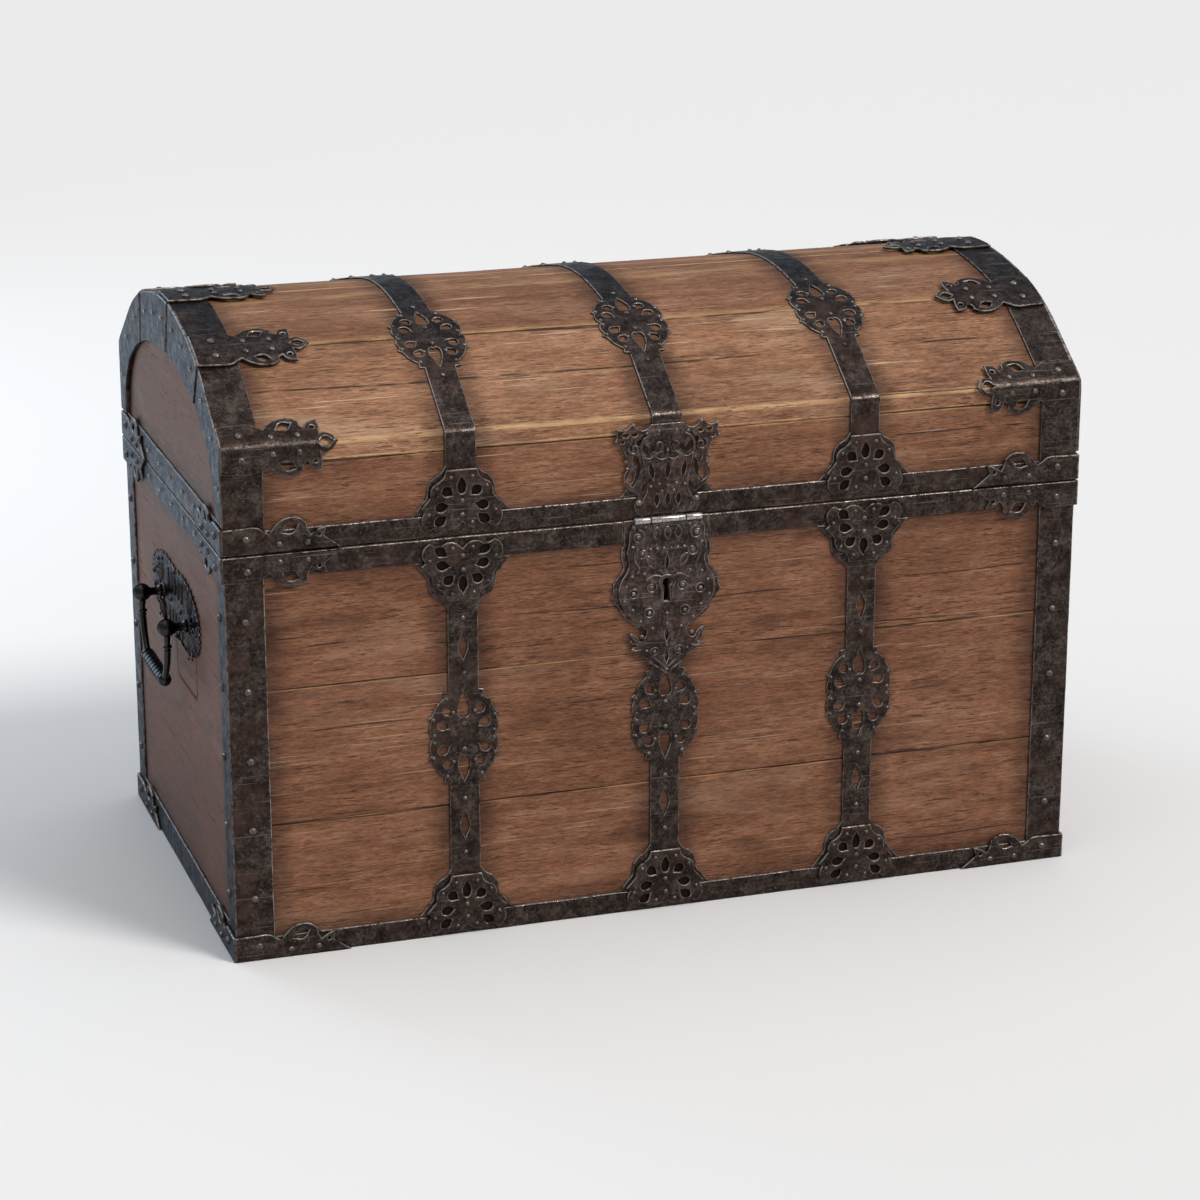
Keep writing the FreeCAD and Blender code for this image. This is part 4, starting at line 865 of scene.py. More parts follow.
RIM_Z = 465
PALMETTE_LENGTH = 67.7
PALMETTE_DRAWN = 72
PALMETTE_MARGIN = 4
PALMETTE = 3.7
PALMETTE_FILED = 1.5
PALMETTE_PIN = (3.6, 2.7)
PALMETTE_STUD = (2.6, 2.0)
PALMETTE_STUDS = ((13, 9), (30, 21), (40, 51), (12, 64))
SHADE_SHEET_THICKNESS = 0.4
PALMETTE_EDGE = [
    (19, 0, True), (21.5, 8, False), (28, 14, True), (34, 17.5, False), (37.5, 24, False), (38, 31, True),
    (43, 37, False), (50, 44.5, True), (45.5, 48, True), (49, 57, False), (46, 67, False), (39, 72, True),
    (33, 68.5, False), (26.5, 67.5, True), (17, 71.5, False), (7, 69.5, False), (0, 63.4, True),
]
PALMETTE_WEDGES = ((-37, 14, 14, 11.5), (11, 16, 16, 11), (39, 25, 16, 11))


def shade_sheet(name, paths, height):
    """A dark sheet of painted shade laid in piercings and hollows, up to a height."""
    ground = joined(name, [flat_plate(name, path, [], SHADE_SHEET_THICKNESS, 0.1, 3) for path in paths])
    ground.data.transform(shift(0, 0, height - SHADE_SHEET_THICKNESS))
    mark(ground, "painted_shade", 1.0)
    return ground


def both_sides(places, height):
    """Places on a flat plate and their mirror images, at a height."""
    return [(side * x, y, height) for side in (-1, 1) for x, y in places]


def palmette(name):
    """A fan on the XY plane that stands on its neck."""
    heart = (0, 39)
    holes = [[(0, 9, True), (5, 20, False), (0, 29, False), (-5, 20, False)]]
    for angle, start, length, width in PALMETTE_WEDGES:
        for turn in (angle, 180 - angle):
            holes.append(teardrop(heart, turn, start, length, width))
    fan = flat_plate(name, mirror_points(PALMETTE_EDGE), holes, PALMETTE, PALMETTE_FILED)
    pins = heads("pins", [(0, 37.5, PALMETTE), (0, 54, PALMETTE)], *PALMETTE_PIN)
    studs = heads("studs", both_sides(PALMETTE_STUDS, PALMETTE), *PALMETTE_STUD)
    # The piercings are backed with a dark sheet of painted shade.
    return joined(name, [fan, shade_sheet("shade_sheets", holes, SHADE_SHEET_THICKNESS), pins, studs])


HALF_TURN = Matrix.Rotation(math.pi, 4, "Z")
fan = palmette("fan")
fan.data.transform(Matrix.Scale(PALMETTE_LENGTH / PALMETTE_DRAWN, 4))


def fans(name, upright, turned, y):
    """Copies of the fan at (x, neck height) places on the front, pointing up or down."""
    copies = []
    for places, matrix in ((upright, Matrix.Identity(4)), (turned, HALF_TURN)):
        for x, z in places:
            copies.append(stood(twin(fan, matrix), 0, (x, y, z)))
    return joined(name, copies)


palmettes = fans(
    "front_palmette_ironwork", [(x, RIM_Z - PALMETTE_MARGIN - PALMETTE_LENGTH) for x in OUTER_STRAPS],
    [(x, PALMETTE_LENGTH + PALMETTE_MARGIN) for x in STRAP_X], -FRONT_Y,
)
fitted(palmettes, band_iron, "chest", "band_iron", "front_palmettes")

# Corner mounts: half leaves of thin sheet folded round each corner, with their straight side along the rim or
# the floor. They hold the ends of the bands and are nailed on both faces.

MOUNT = 2
LEAF = 3.5
LID_BOTTOM = 465.4
LID_GAP = 1.5
HALF_LEAF_EDGE = [
    (119, 8, False), (110, 15, True), (114, 25.5, True), (104, 22.5, False), (96, 17.5, True),
    (92.5, 24, False), (91, 31, True), (84, 36.5, False), (73, 38, False), (62, 34.5, False), (54, 27, False),
    (50, 21.5, True), (44, 25, False), (38, 29, False), (20, 29.5, False),
]
HALF_LEAF_EYE = (25.5, 73, 19, 11, -24)
HALF_SPIKE_EYE = (104.5, 16.5, 2)
LEAF_FILED = 1.4
LEAF_NAIL = (4.6, 3)
HALF_LEAF_PIN = (3.8, 2.6)


def smooth(*points):
    """A line through points without corners."""
    return [(x, y, False) for x, y in points]


def ring(x, y, radius):
    return smooth((x + radius, y), (x, y + radius), (x - radius, y), (x, y - radius))


def half_leaf(name):
    """A half leaf along +X with its straight side on y = 0, for one face of a corner."""
    outline = [(-MOUNT, 0, True), (130, 0, True)] + HALF_LEAF_EDGE + [(-MOUNT, 29, True)]
    eyes = [[(x, y, sharp) for y, x, sharp in oval(*HALF_LEAF_EYE)], ring(*HALF_SPIKE_EYE)]
    blade = flat_plate(name, outline, eyes, LEAF, LEAF_FILED)
    nail = heads("nail", [(25, 17, LEAF)], *LEAF_NAIL)
    pins = heads("pins", [(61, 9, LEAF), (92, 9, LEAF)], *HALF_LEAF_PIN)
    return joined(name, [blade, nail, pins])


MIRROR_X = Matrix.Scale(-1, 4, (1, 0, 0))
MIRROR_Y = Matrix.Scale(-1, 4, (0, 1, 0))
blade = half_leaf("blade")


def four_corner_mounts(name, z, hanging):
    """The mounts of all four corners, standing on a height or hanging from it."""
    faces = []
    for turn, x, y in SIDES:
        reach = FRONT_Y if x else END_X
        for side in (-1, 1):
            half = twin(blade, Matrix.Identity(4))
            for needed, mirror in ((side < 0, MIRROR_X), (hanging, MIRROR_Y)):
                if needed:
                    half.data.transform(mirror)
                    half.data.flip_normals()
            half.data.transform(shift(-side * reach, 0, 0))
            faces.append(stood(half, turn, (x, y, z)))
    return joined(name, faces)


for name, z, hanging, body in (
    ("foot_corner_mounts", 0, False, "chest"), ("rim_corner_mounts", RIM_Z, True, "chest"),
    ("lid_corner_mounts", LID_BOTTOM + LID_GAP, False, "lid"),
):
    mounts = four_corner_mounts(f"{name}_ironwork", z, hanging)
    fitted(mounts, band_iron, body, "band_iron", name)

# Lock: an iron plate let in flush on the upper board, with the steel case, bolt and spring behind it.
# The plate's points show round the hasp; the works are filed steel, greyed by age.

LOCK_EDGE = [
    (19, 0, True), (30, 3, False), (39, 9, False), (50, 19, False), (57, 31, True), (66, 42, True),
    (62.5, 49, True), (62, 58, False), (56, 67, False), (50.5, 76, False), (53, 88, False), (52, 99, True),
    (50, 104, True), (50, 130, True),
]
KEYHOLE = [
    (-4.2, 0, True), (4.2, 0, True), (2.8, 17, True), (5.4, 22, False), (0, 27, False), (-5.4, 22, False),
    (-2.8, 17, True),
]
hasp_iron = iron_material("hasp_iron", bloom=0.4, relief=0.9, tint=(1.4, 1.38, 1.42))
channel = [(6.5, 130, True), (6.5, 86, True), (-6.5, 86, True), (-6.5, 130, True)]
lock_outline = LOCK_EDGE + channel + [(-x, y, sharp) for x, y, sharp in reversed(LOCK_EDGE)]
plate = flat_plate("lock_plate_ironwork", lock_outline, [lifted(KEYHOLE, 34)], BAND)
stood(plate, 0, (0, BAND - FRONT_Y, LOCK_PLATE_Z))
fitted(plate, hasp_iron, "chest", "hasp_iron", "lock_plate")

LOCK_FILED = (0.25, 0.3)


def filed_copy(node, work, edge, rubbed_and_lit):
    """A copy of a solid with filed edges, named for the work on it."""
    piece = copied_solid(node, f"{work}_{node}")
    rounded(piece, edge)
    mark_wear_and_highlight(piece, rubbed_and_lit)
    return piece


lock_steel = iron_material("lock_steel", bloom=0.2, relief=0.15, tint=(2.6, 2.6, 2.6))
for node, body in (("lock_case", "chest"), ("lock_spring", "chest"), ("lock_bolt", "lock_bolt")):
    fitted(filed_copy(node, "filed", *LOCK_FILED), lock_steel, body, "lock_steel", node)

# Lid boards: an upright riser and two staves to each side of the ridge, mitred together on two gable boards.
# They are the same softwood as the chest, most rubbed along the folds.

# The second number of each board is its share of painted light, most on the lower staves that face up to the
# light.
LID_BOARDS = {
    "lid_front_riser": (11.0, 0.1), "lid_front_lower_stave": (12.0, 0.85),
    "lid_front_upper_stave": (13.0, 0.3), "lid_back_upper_stave": (14.0, 0.3),
    "lid_back_lower_stave": (15.0, 0.85), "lid_back_riser": (16.0, 0.1),
    "lid_left_gable": (17.0, 0.0), "lid_right_gable": (18.0, 0.0),
}
LID_BOARD_EDGE = 2.0
LID_BOARD_WEAR_AND_HIGHLIGHT = 1.5
LID_FOLDS = ((583, 4.5, 3), (564.5, 1, 1.5), (661, 2, 4), (686.5, 0.7, 2))
LID_SEAMS = ((562.5, 1.7), (626, 0.45), (660, 0.6))
LID_BARE = (491, 760)
GABLE_BARE = (499, 760)
# The lid's wood is a little lighter as painted light; the gables are darker and bluer as painted shade.
LID_PAINTED_LIGHT = (1.04, 1.05, 1.05)
GABLE_PAINTED_SHADE = (0.60, 0.61, 0.77)
lid_wood = wood_material("lid_wood", 0, STRAPS_ALONG, LID_BARE, LID_PAINTED_LIGHT, LID_SEAMS, LID_FOLDS)
gable_wood = wood_material("gable_wood", 90, ANGLES_ACROSS, GABLE_BARE, GABLE_PAINTED_SHADE)

STAVES = [(-276, LID_BOTTOM), (-276, 584), (-154, 664), (0, 691), (154, 664), (276, 584), (276, LID_BOTTOM)]
LID_PATH = [
    (-276, LID_BOTTOM), (-276, 584), (-156, 668), (0, 698), (156, 668), (276, 584), (276, LID_BOTTOM),
]
FOLD_ROUNDING = (0, 7, 60, 74, 60, 7)
PLANED_TO = 70
PLANED_FADE = 40


def path_lengths(path):
    lengths = [0]
    for (y0, z0), (y1, z1) in zip(path, path[1:]):
        lengths.append(lengths[-1] + math.hypot(y1 - y0, z1 - z0))
    return lengths


LID_LENGTHS = path_lengths(LID_PATH)


def on_path(along):
    """Place and direction at a distance along the lid's outer face, with its folds rounded."""
    index = max(i for i in range(len(LID_PATH) - 1) if i == 0 or along >= LID_LENGTHS[i])
    start, end = Vector(LID_PATH[index]), Vector(LID_PATH[index + 1])
    way = (end - start).normalized()
    spot = start + way * (along - LID_LENGTHS[index])
    for fold in range(1, len(LID_PATH) - 1):
        reach = FOLD_ROUNDING[fold]
        offset = along - LID_LENGTHS[fold]
        if abs(offset) < reach:
            corner = Vector(LID_PATH[fold])
            before = (corner - Vector(LID_PATH[fold - 1])).normalized()
            after = (Vector(LID_PATH[fold + 1]) - corner).normalized()
            share = (offset + reach) / (2 * reach)
            first, last = corner - before * reach, corner + after * reach
            spot = first * (1 - share) ** 2 + corner * 2 * share * (1 - share) + last * share ** 2
            way = (before * (1 - share) + after * share).normalized()
    return spot, way


def domed(piece):
    """Plane the staves of the lid to their rounded section: flat solids become a smooth dome."""
    for vertex in piece.data.vertices:
        spot = Vector((vertex.co.y, vertex.co.z)) / MM
        nearest = None
        for index, (start, end) in enumerate(zip(STAVES, STAVES[1:])):
            start, end = Vector(start), Vector(end)
            way = end - start
            share = min(1, max(0, (spot - start).dot(way) / way.length_squared))
            depth = (spot - start - way * share).length
            if nearest is None or depth < nearest[0]:
                nearest = depth, index, share, start + way * share
        depth, index, share, flat = nearest
        along = LID_LENGTHS[index] + share * (LID_LENGTHS[index + 1] - LID_LENGTHS[index])
        planed = min(1, max(0, (PLANED_TO - depth) / PLANED_FADE))
        raised = (on_path(along)[0] - flat) * planed * MM
        vertex.co += Vector((0, *raised))


for node, (number, painted_light) in LID_BOARDS.items():
    boards = copied_solid(node, f"worn_{node}")
    rounded(boards, LID_BOARD_EDGE, 3)
    uneven(boards, BOARD_STEP, BOARD_WANDER)
    domed(boards)
    mark_wear_and_highlight(boards, LID_BOARD_WEAR_AND_HIGHLIGHT)
    mark(boards, "board", number)
    mark_outside(boards)
    mark(boards, "painted_light", painted_light)
    fitted(boards, gable_wood if "gable" in node else lid_wood, "lid", "lid_wood", node)

# Bands of the lid: flat irons along its lower edge, and a band bent over each end that also frames the gable
# in lengths, each standing a little prouder than the one before it, with an arched opening.

LID_BAND_WEAR_AND_HIGHLIGHT = 1.1

for node in ("lid_front_rim_band", "lid_back_rim_band", "lid_end_rim_bands"):
    band = copied_solid(node, f"forged_{node}")
    for vertex in band.data.vertices:
        vertex.co.z = max(vertex.co.z, (LID_BOTTOM + LID_GAP) * MM)
    rounded(band, BAND_EDGE)
    uneven(band, BAND_STEP, BAND_WANDER, BAND_WAVES)
    mark_wear_and_highlight(band, LID_BAND_WEAR_AND_HIGHLIGHT)
    fitted(band, band_iron, "lid", "band_iron", node)


CREASES = (1, 5)
CREASE_HIGHLIGHT_REACH = 1.2
FOLD_STEPS = 5


def wrapped(piece, rubbed_and_lit=0.6):
    """Bend a flat piece over the lid: its y runs along the section, its z stands off it, and its faces along
    the creases get a painted highlight.
    """
    pick(piece)
    low = min(vertex.co.y for vertex in piece.data.vertices) / MM
    high = max(vertex.co.y for vertex in piece.data.vertices) / MM
    bpy.ops.object.mode_set(mode="EDIT")
    for fold in range(1, len(LID_PATH) - 1):
        for step in range(-FOLD_STEPS, FOLD_STEPS + 1):
            cut = LID_LENGTHS[fold] + FOLD_ROUNDING[fold] * step / FOLD_STEPS
            if low < cut < high:
                bpy.ops.mesh.select_all(action="SELECT")
                bpy.ops.mesh.bisect(plane_co=(0, cut * MM, 0), plane_no=(0, 1, 0))
    bpy.ops.object.mode_set(mode="OBJECT")
    wear_and_highlight = piece.data.attributes["wear_and_highlight"].data
    for face in piece.data.polygons:
        if min(abs(face.center.y / MM - LID_LENGTHS[fold]) for fold in CREASES) < CREASE_HIGHLIGHT_REACH:
            wear_and_highlight[face.index].value = rubbed_and_lit
    for vertex in piece.data.vertices:
        x, y, z = vertex.co / MM
        spot, way = on_path(y)
        vertex.co = Vector((x, spot[0] - way[1] * z, spot[1] + way[0] * z)) * MM
    return piece


END_BAND = 46
END_BAND_FILED = 0.8
END_BAND_WANDER = 0.3
ARCH_FOOT = 499.4
ARCH_HALF = 248
ARCH_RISE = 131
ARCH_FULLNESS = 2.1
ARCH_STEPS = 20
FRAME_STEPS = 24
FRAME_FILED = 1.5
FRAME_SEAMS = ((-179, -155), (-28, -11), (128, 136))
SEAM_GAP = 2.2
FRAME_RISE = 0.7
FRAME_LAP = 0.9


def end_band_strip(name, x):
    """The band bent over the boards at one end."""
    half, length = END_BAND / 2, LID_LENGTHS[-1]
    low, high = LID_GAP, length - LID_GAP
    corners = [(-half, low, True), (half, low, True), (half, high, True), (-half, high, True)]
    strip = flat_plate(name, corners, [], BAND, END_BAND_FILED)
    uneven(strip, BAND_STEP, END_BAND_WANDER, BAND_WAVES)
    strip.data.transform(shift(x, 0, -BAND))
    return wrapped(strip)


def arch_height(y):
    """Height of the opening in the gable frame, a full arch."""
    width = (abs(y) / ARCH_HALF) ** ARCH_FULLNESS
    return ARCH_FOOT + ARCH_RISE * max(0, 1 - width) ** (1 / ARCH_FULLNESS)


def along_at(y):
    """Distance along the section to a place across the chest, between the creases, by halving."""
    low, high = (LID_LENGTHS[fold] for fold in CREASES)
    for _ in range(30):
        middle = (low + high) / 2
        low, high = (middle, high) if on_path(middle)[0][0] < y else (low, middle)
    return low


def gable_frame(name):
    """The arched frame in its lengths, drawn with x for -y; each length stands a little prouder than the one
    before it, with a gap between them.
    """
    foot = ARCH_FOOT - LID_BOTTOM
    outer = [foot] + [along_at(y) for y, _ in FRAME_SEAMS] + [LID_LENGTHS[-1] - foot]
    inner = [-ARCH_HALF] + [y for _, y in FRAME_SEAMS] + [ARCH_HALF]
    lengths = []
    for index in range(len(outer) - 1):
        gap_before = SEAM_GAP if index else 0
        gap_after = SEAM_GAP if index < len(FRAME_SEAMS) else 0
        start, end = outer[index] + gap_before, outer[index + 1] - gap_after
        points = [on_path(start + (end - start) * step / FRAME_STEPS)[0] for step in range(FRAME_STEPS + 1)]
        first, last = inner[index] + gap_before, inner[index + 1] - gap_after
        arch = [last + (first - last) * step / ARCH_STEPS for step in range(ARCH_STEPS + 1)]
        outline = [(-y, z, True) for y, z in points] + [(-y, arch_height(y), True) for y in arch]
        thick = BAND + FRAME_RISE + FRAME_LAP * index
        lengths.append(flat_plate(name, outline, [], thick, FRAME_FILED))
        places = []
        for step in (4, 12, 20):
            y, z = points[step]
            inside = arch[round(ARCH_STEPS - step * ARCH_STEPS / FRAME_STEPS)]
            places.append((-0.6 * y - 0.4 * inside, 0.6 * z + 0.4 * arch_height(inside), thick))
        lengths.append(heads("frame_nails", places, *END_NAIL))
    return joined(name, lengths)


for name, side, nodes in (("lid_left_end_band", -1, ["lid_end_bands"]), ("lid_right_end_band", 1, [])):
    strip = end_band_strip(name, side * (END_X - END_BAND / 2))
    gable = stood(gable_frame("gable"), side * 90, (side * (END_X - BAND), 0, 0))
    fitted(joined(name, [strip, gable]), band_iron, "lid", "band_iron", *nodes)

# Lid straps: irons bent over the whole lid, with a rosette over the joint of the staves at front and back and
# a broad foot at each end. Made as the straps of the front.

STAVE_JOINTS = (LID_LENGTHS[2], LID_LENGTHS[4])
LID_STRAP_END = 26
LID_PIN = (2.8, 2)
LID_PIN_DISTANCE = 66


def lid_strap(name):
    """A strap bent over the lid at x = 0."""
    length = LID_LENGTHS[-1] - LID_STRAP_END
    right = lifted(FLARE, LID_STRAP_END)
    holes, relief, pins = [], [], []
    for joint in STAVE_JOINTS:
        right += lifted(rosette_side(), joint)
        holes += [lifted(hole, joint) for hole in rosette_holes()]
        pins += [(0, joint + side * LID_PIN_DISTANCE, BAND) for side in (-1, 1)]
    right += [(x, length - y, sharp) for x, y, sharp in reversed(FLARE)]
    strip = flat_plate(name, mirror_points(right), holes, BAND)
    for joint in STAVE_JOINTS:
        relief += rosette_relief(joint)
    strip = joined(name, [strip] + relief + [heads("pins", pins, *LID_PIN)])
    strip.data.transform(shift(0, 0, -BAND))
    return wrapped(strip)


strap = lid_strap("strap")
for hand, x in zip(("left", "centre", "right"), STRAP_X):
    copy = twin(strap, shift(x, 0, 0))
    copy.name = f"lid_strap_ironwork_{hand}"
    fitted(copy, band_iron, "lid", "band_iron", f"lid_strap_{hand}")
bpy.data.objects.remove(strap)

# Leaf mounts of the lid: five to each end, bent over the creases, the joints and the ridge. The tab laps the
# end band; the blade reaches on to the wood and ends in a pierced point. The lid's two palmettes are cut like
# those of the front.

LEAF_EDGE = [
    (28, 0, True), (29.5, 20, False), (29, 38, False), (25, 44, False), (21, 50, True), (25, 54, False),
    (31, 62, False), (34.2, 73, False), (33, 84, False), (28, 91, True), (23.5, 90.5, False),
    (19.5, 95, True), (26.5, 99, False), (30, 110.5, True), (20, 111, False), (9.5, 109.5, True),
    (11, 116.5, False), (0, 129, True),
]
TIP_EYE = (0, 115, 15, 10.5)
LEAF_EYE = (22.5, 73, 18, 10.5, -24)
SPIKE_EYE = (19, 103.5, 2.3)
LEAF_PIN = (3.6, 2.4)
LID_PALMETTE_MARGIN = 8.3


def leaf(name):
    """A leaf along +Y from its tab."""
    eyes = [oval(*TIP_EYE)]
    x, y, length, width, lean = LEAF_EYE
    for side in (-1, 1):
        eyes += [oval(side * x, y, length, width, side * lean), ring(side * SPIKE_EYE[0], *SPIKE_EYE[1:])]
    sheet = flat_plate(name, mirror_points(LEAF_EDGE), eyes, LEAF, LEAF_FILED)
    nails = heads("nails", both_sides([(13.5, 23)], LEAF), *LEAF_NAIL)
    pins = heads("pins", both_sides([(9, 57), (9, 86)], LEAF), *LEAF_PIN)
    return joined(name, [sheet, nails, pins])


leaf_piece = leaf("leaf")
ALONG_X = Matrix.Rotation(math.radians(-90), 4, "Z")
leaves = []
for fold in LID_LENGTHS[1:-1]:
    for turn, x in ((ALONG_X, -END_X), (ALONG_X @ HALF_TURN, END_X)):
        leaves.append(wrapped(twin(leaf_piece, shift(x, fold, 0) @ turn), 0.3))
leaf_mounts = joined("lid_leaf_ironwork", leaves)
fitted(leaf_mounts, band_iron, "lid", "band_iron", "lid_leaf_mounts")
bpy.data.objects.remove(leaf_piece)
bpy.data.objects.remove(blade)

necks = [(x, LID_BOTTOM + LID_PALMETTE_MARGIN + PALMETTE_LENGTH) for x in OUTER_STRAPS]
lid_palmettes = fans("lid_palmette_ironwork", [], necks, -FRONT_Y)
fitted(lid_palmettes, band_iron, "lid", "band_iron", "lid_palmettes")
bpy.data.objects.remove(fan)

# Back hinges: two pairs of fan-shaped leaves, the lower nailed to the chest with the pin in its outer
# knuckles, the upper nailed to the lid and turning on it.

HINGE_FILED = (0.4, 0.5)
HINGE_NAIL = (4, 2.6)
HINGE_NAIL_SIDES = (-16, 16)
HINGE_NAILS = (("hinge_base_nails", "chest", (418, 444)), ("hinge_lid_nails", "lid", (487, 513)))

for node, body in (("hinge_base_leaves", "chest"), ("hinge_lid_leaves", "lid")):
    fitted(filed_copy(node, "forged", *HINGE_FILED), hasp_iron, body, "hasp_iron", node)
for name, body, heights in HINGE_NAILS:
    places = [(x + side, z, MOUNT) for x in OUTER_STRAPS for z in heights for side in HINGE_NAIL_SIDES]
    pins = stood(heads(name, places, *HINGE_NAIL), 180, (0, FRONT_Y, 0))
    fitted(pins, hasp_iron, body, "hasp_iron")

# Hasp plate: a tall openwork plate on the front of the lid, sawn and filed into scrolls, with the outer
# knuckles of the hasp's barrel rolled from its lower edge. The barrel is rubbed bright.

BARREL = 4.0
BARREL_Y = -280.5
BARREL_Z = 465.2
STUD = (2.1, 1.7)
HASP_DOME = (4.4, 3.4)
HASP_EDGE = [
    (33, 5, True), (37.5, 12, False), (38, 21, False), (34, 29, True), (42, 33.5, False), (49.5, 42, False),
    (50.5, 52, False), (45.5, 60, True), (47, 68, False), (50, 78, False), (55, 87, True), (62.5, 90.5, True),
    (58.5, 95, True), (61, 107, True), (51.5, 103.5, False), (46.5, 105, True), (39.5, 111, True),
    (35, 104.5, False), (28, 102, False), (22, 105, False), (19, 108, True),
]
VASE_EDGE = [
    (28, 7, True), (32, 13, False), (29.5, 22, False), (24.5, 32, False), (24, 41, False), (26, 53, False),
    (28.5, 64, False), (31, 77, True), (26.5, 72, False), (20.5, 70.5, False), (16, 75, True),
    (12, 70.5, False), (6, 68.5, False), (0, 71, True),
]
VASE = 1.6
VASE_FILED = 0.75
GROUND_FILED = 0.9
SCROLL = 1.8
VOLUTE_STEPS = 10
VOLUTE_TURN = 52


def raised_lines(name, paths, radius, height, closed=True):
    """Beads of metal left standing along drawn lines."""
    piece = drawn_curve(name, paths, closed, "3D", height)
    curve = piece.data
    curve.bevel_depth = radius * MM
    curve.bevel_resolution = 1
    curve.resolution_u = 4
    curve.use_fill_caps = True
    pick(piece)
    bpy.ops.object.convert(target="MESH")
    bpy.ops.object.shade_smooth()
    piece = bpy.context.object
    mark(piece, "wear_and_highlight", 0.55)
    return piece


def mirrored_paths(paths):
    return paths + [[(-x, y, sharp) for x, y, sharp in path] for path in paths]


def knuckle(start, end):
    """A rolled knuckle of the front barrel with softened ends."""
    piece = formed(
        bpy.ops.mesh.primitive_cylinder_add, vertices=28, radius=BARREL * MM, depth=(end - start) * MM,
        location=((start + end) / 2 * MM, BARREL_Y * MM, BARREL_Z * MM), rotation=(0, math.radians(90), 0),
    )
    rounded(piece, 0.8)
    bpy.ops.object.shade_smooth_by_angle(angle=math.radians(30))
    mark(piece, "wear_and_highlight", 0.7)
    mark(piece, "polish_and_highlight", 0.75)
    return piece


def volute(x, y, size, way, start=0):
    """A scroll that winds in to a point."""
    points = []
    for step in range(VOLUTE_STEPS):
        turn = math.radians(start + way * step * VOLUTE_TURN)
        reach = size * (1 - step / (VOLUTE_STEPS + 1))
        points.append((x + reach * math.cos(turn), y + reach * math.sin(turn)))
    return smooth(*points)


def hasp_plate(name):
    """Two layers: the pierced ground with its wings and loops, and the vase in front of it."""
    side = [
        oval(41.5, 47, 17, 11, -12), oval(37, 68, 14, 8, -16), ring(38.5, 99, 3.6), ring(48.5, 98.5, 3.6),
        oval(53, 91, 6, 6, 30), oval(33, 88, 9, 8, 30), oval(43.5, 83.5, 9, 6.5, -40),
    ]
    ground = flat_plate(name, mirror_points(HASP_EDGE), mirrored_paths(side), MOUNT, GROUND_FILED)
    slots = [oval(x, 22, 15, 5.4) for x in (-12.5, 0, 12.5)]
    slots += [oval(x, 55.5, 20, 5.6, lean) for x, lean in ((-19, 12), (0, 0), (19, -12))]
    vase = flat_plate("vase", mirror_points(VASE_EDGE), slots, VASE, VASE_FILED)
    vase.data.transform(shift(0, 0, MOUNT))
    lines = mirrored_paths([
        smooth((15, 73), (10, 76), (6.5, 81), (7.5, 86), (11.5, 86.5), (12, 83.5)),
        volute(39, 82, 7.5, -1, 60), smooth((30.5, 77), (31, 84), (27, 92), (20, 96)),
    ])
    scrolls = raised_lines("scrolls", lines, SCROLL, MOUNT + 0.4, closed=False)
    hollows = mirrored_paths([
        oval(25.5, 80.5, 14, 7, -25), oval(17.5, 80, 11, 6, 35), oval(2.6, 77, 10, 4.4, 0),
        oval(28, 93.5, 10, 5, 35), oval(34, 56, 22, 4.5, 8), oval(27.5, 37, 10, 4.5, 25),
    ])
    # Dark sheets of painted shade in the slots and on the hollows of the ground.
    shade_sheets = [shade_sheet("shade_sheets", slots, MOUNT + SHADE_SHEET_THICKNESS), shade_sheet("shade_sheets", hollows, MOUNT + 0.25)]
    studs = both_sides(((20, 38), (10, 40), (7, 32)), MOUNT + VASE) + [(0, 38, MOUNT + VASE), (0, 78, MOUNT)]
    studs += both_sides(((24, 98), (10, 100), (47, 60), (60, 91), (58, 104), (39.5, 108), (48.5, 68)), MOUNT)
    domes = heads("domes", both_sides([(33.5, 20)], MOUNT), *HASP_DOME)
    return joined(name, [ground, vase, scrolls, heads("studs", studs, *STUD), domes] + shade_sheets)


plate = stood(hasp_plate("hasp_plate_ironwork"), 0, (0, -FRONT_Y, BARREL_Z))
plate = joined("hasp_plate_ironwork", [plate, knuckle(-39.5, -21), knuckle(21, 39.5)])
fitted(plate, hasp_iron, "lid", "hasp_iron", "lid_hasp_plate")

# Hasp: a shield of thicker sheet that hangs over the lock plate, embossed with scrolls and studs, with a
# keyhole, leaf-shaped ears and a pointed tail. The staple on its back is riveted through.

FLAP = 3
FLAP_Y = -276.3
FLAP_FILED = 1.0
FLAP_RIM = 1.5
FLAP_SCROLL = 1.75
FLAP_DOME = (3.0, 2.4)
STAPLE_FILED = (0.6, 0.7)
FLAP_EDGE = [
    (0, -182, True), (9, -177, False), (19, -167, True), (27, -160, False), (34, -156, False),
    (44, -149, True), (37, -146, True), (47, -128, True), (39, -131.5, False), (35.5, -135, True),
    (31, -140.5, False), (26, -137, False), (23.5, -129, True), (30, -122, False), (42, -113, False),
    (52, -100, False), (57, -84, False), (54, -69, False), (47, -58, False), (44.5, -48, True),
    (47.5, -38, False), (45, -26, False), (44, -12, False), (41, -5, True),
]


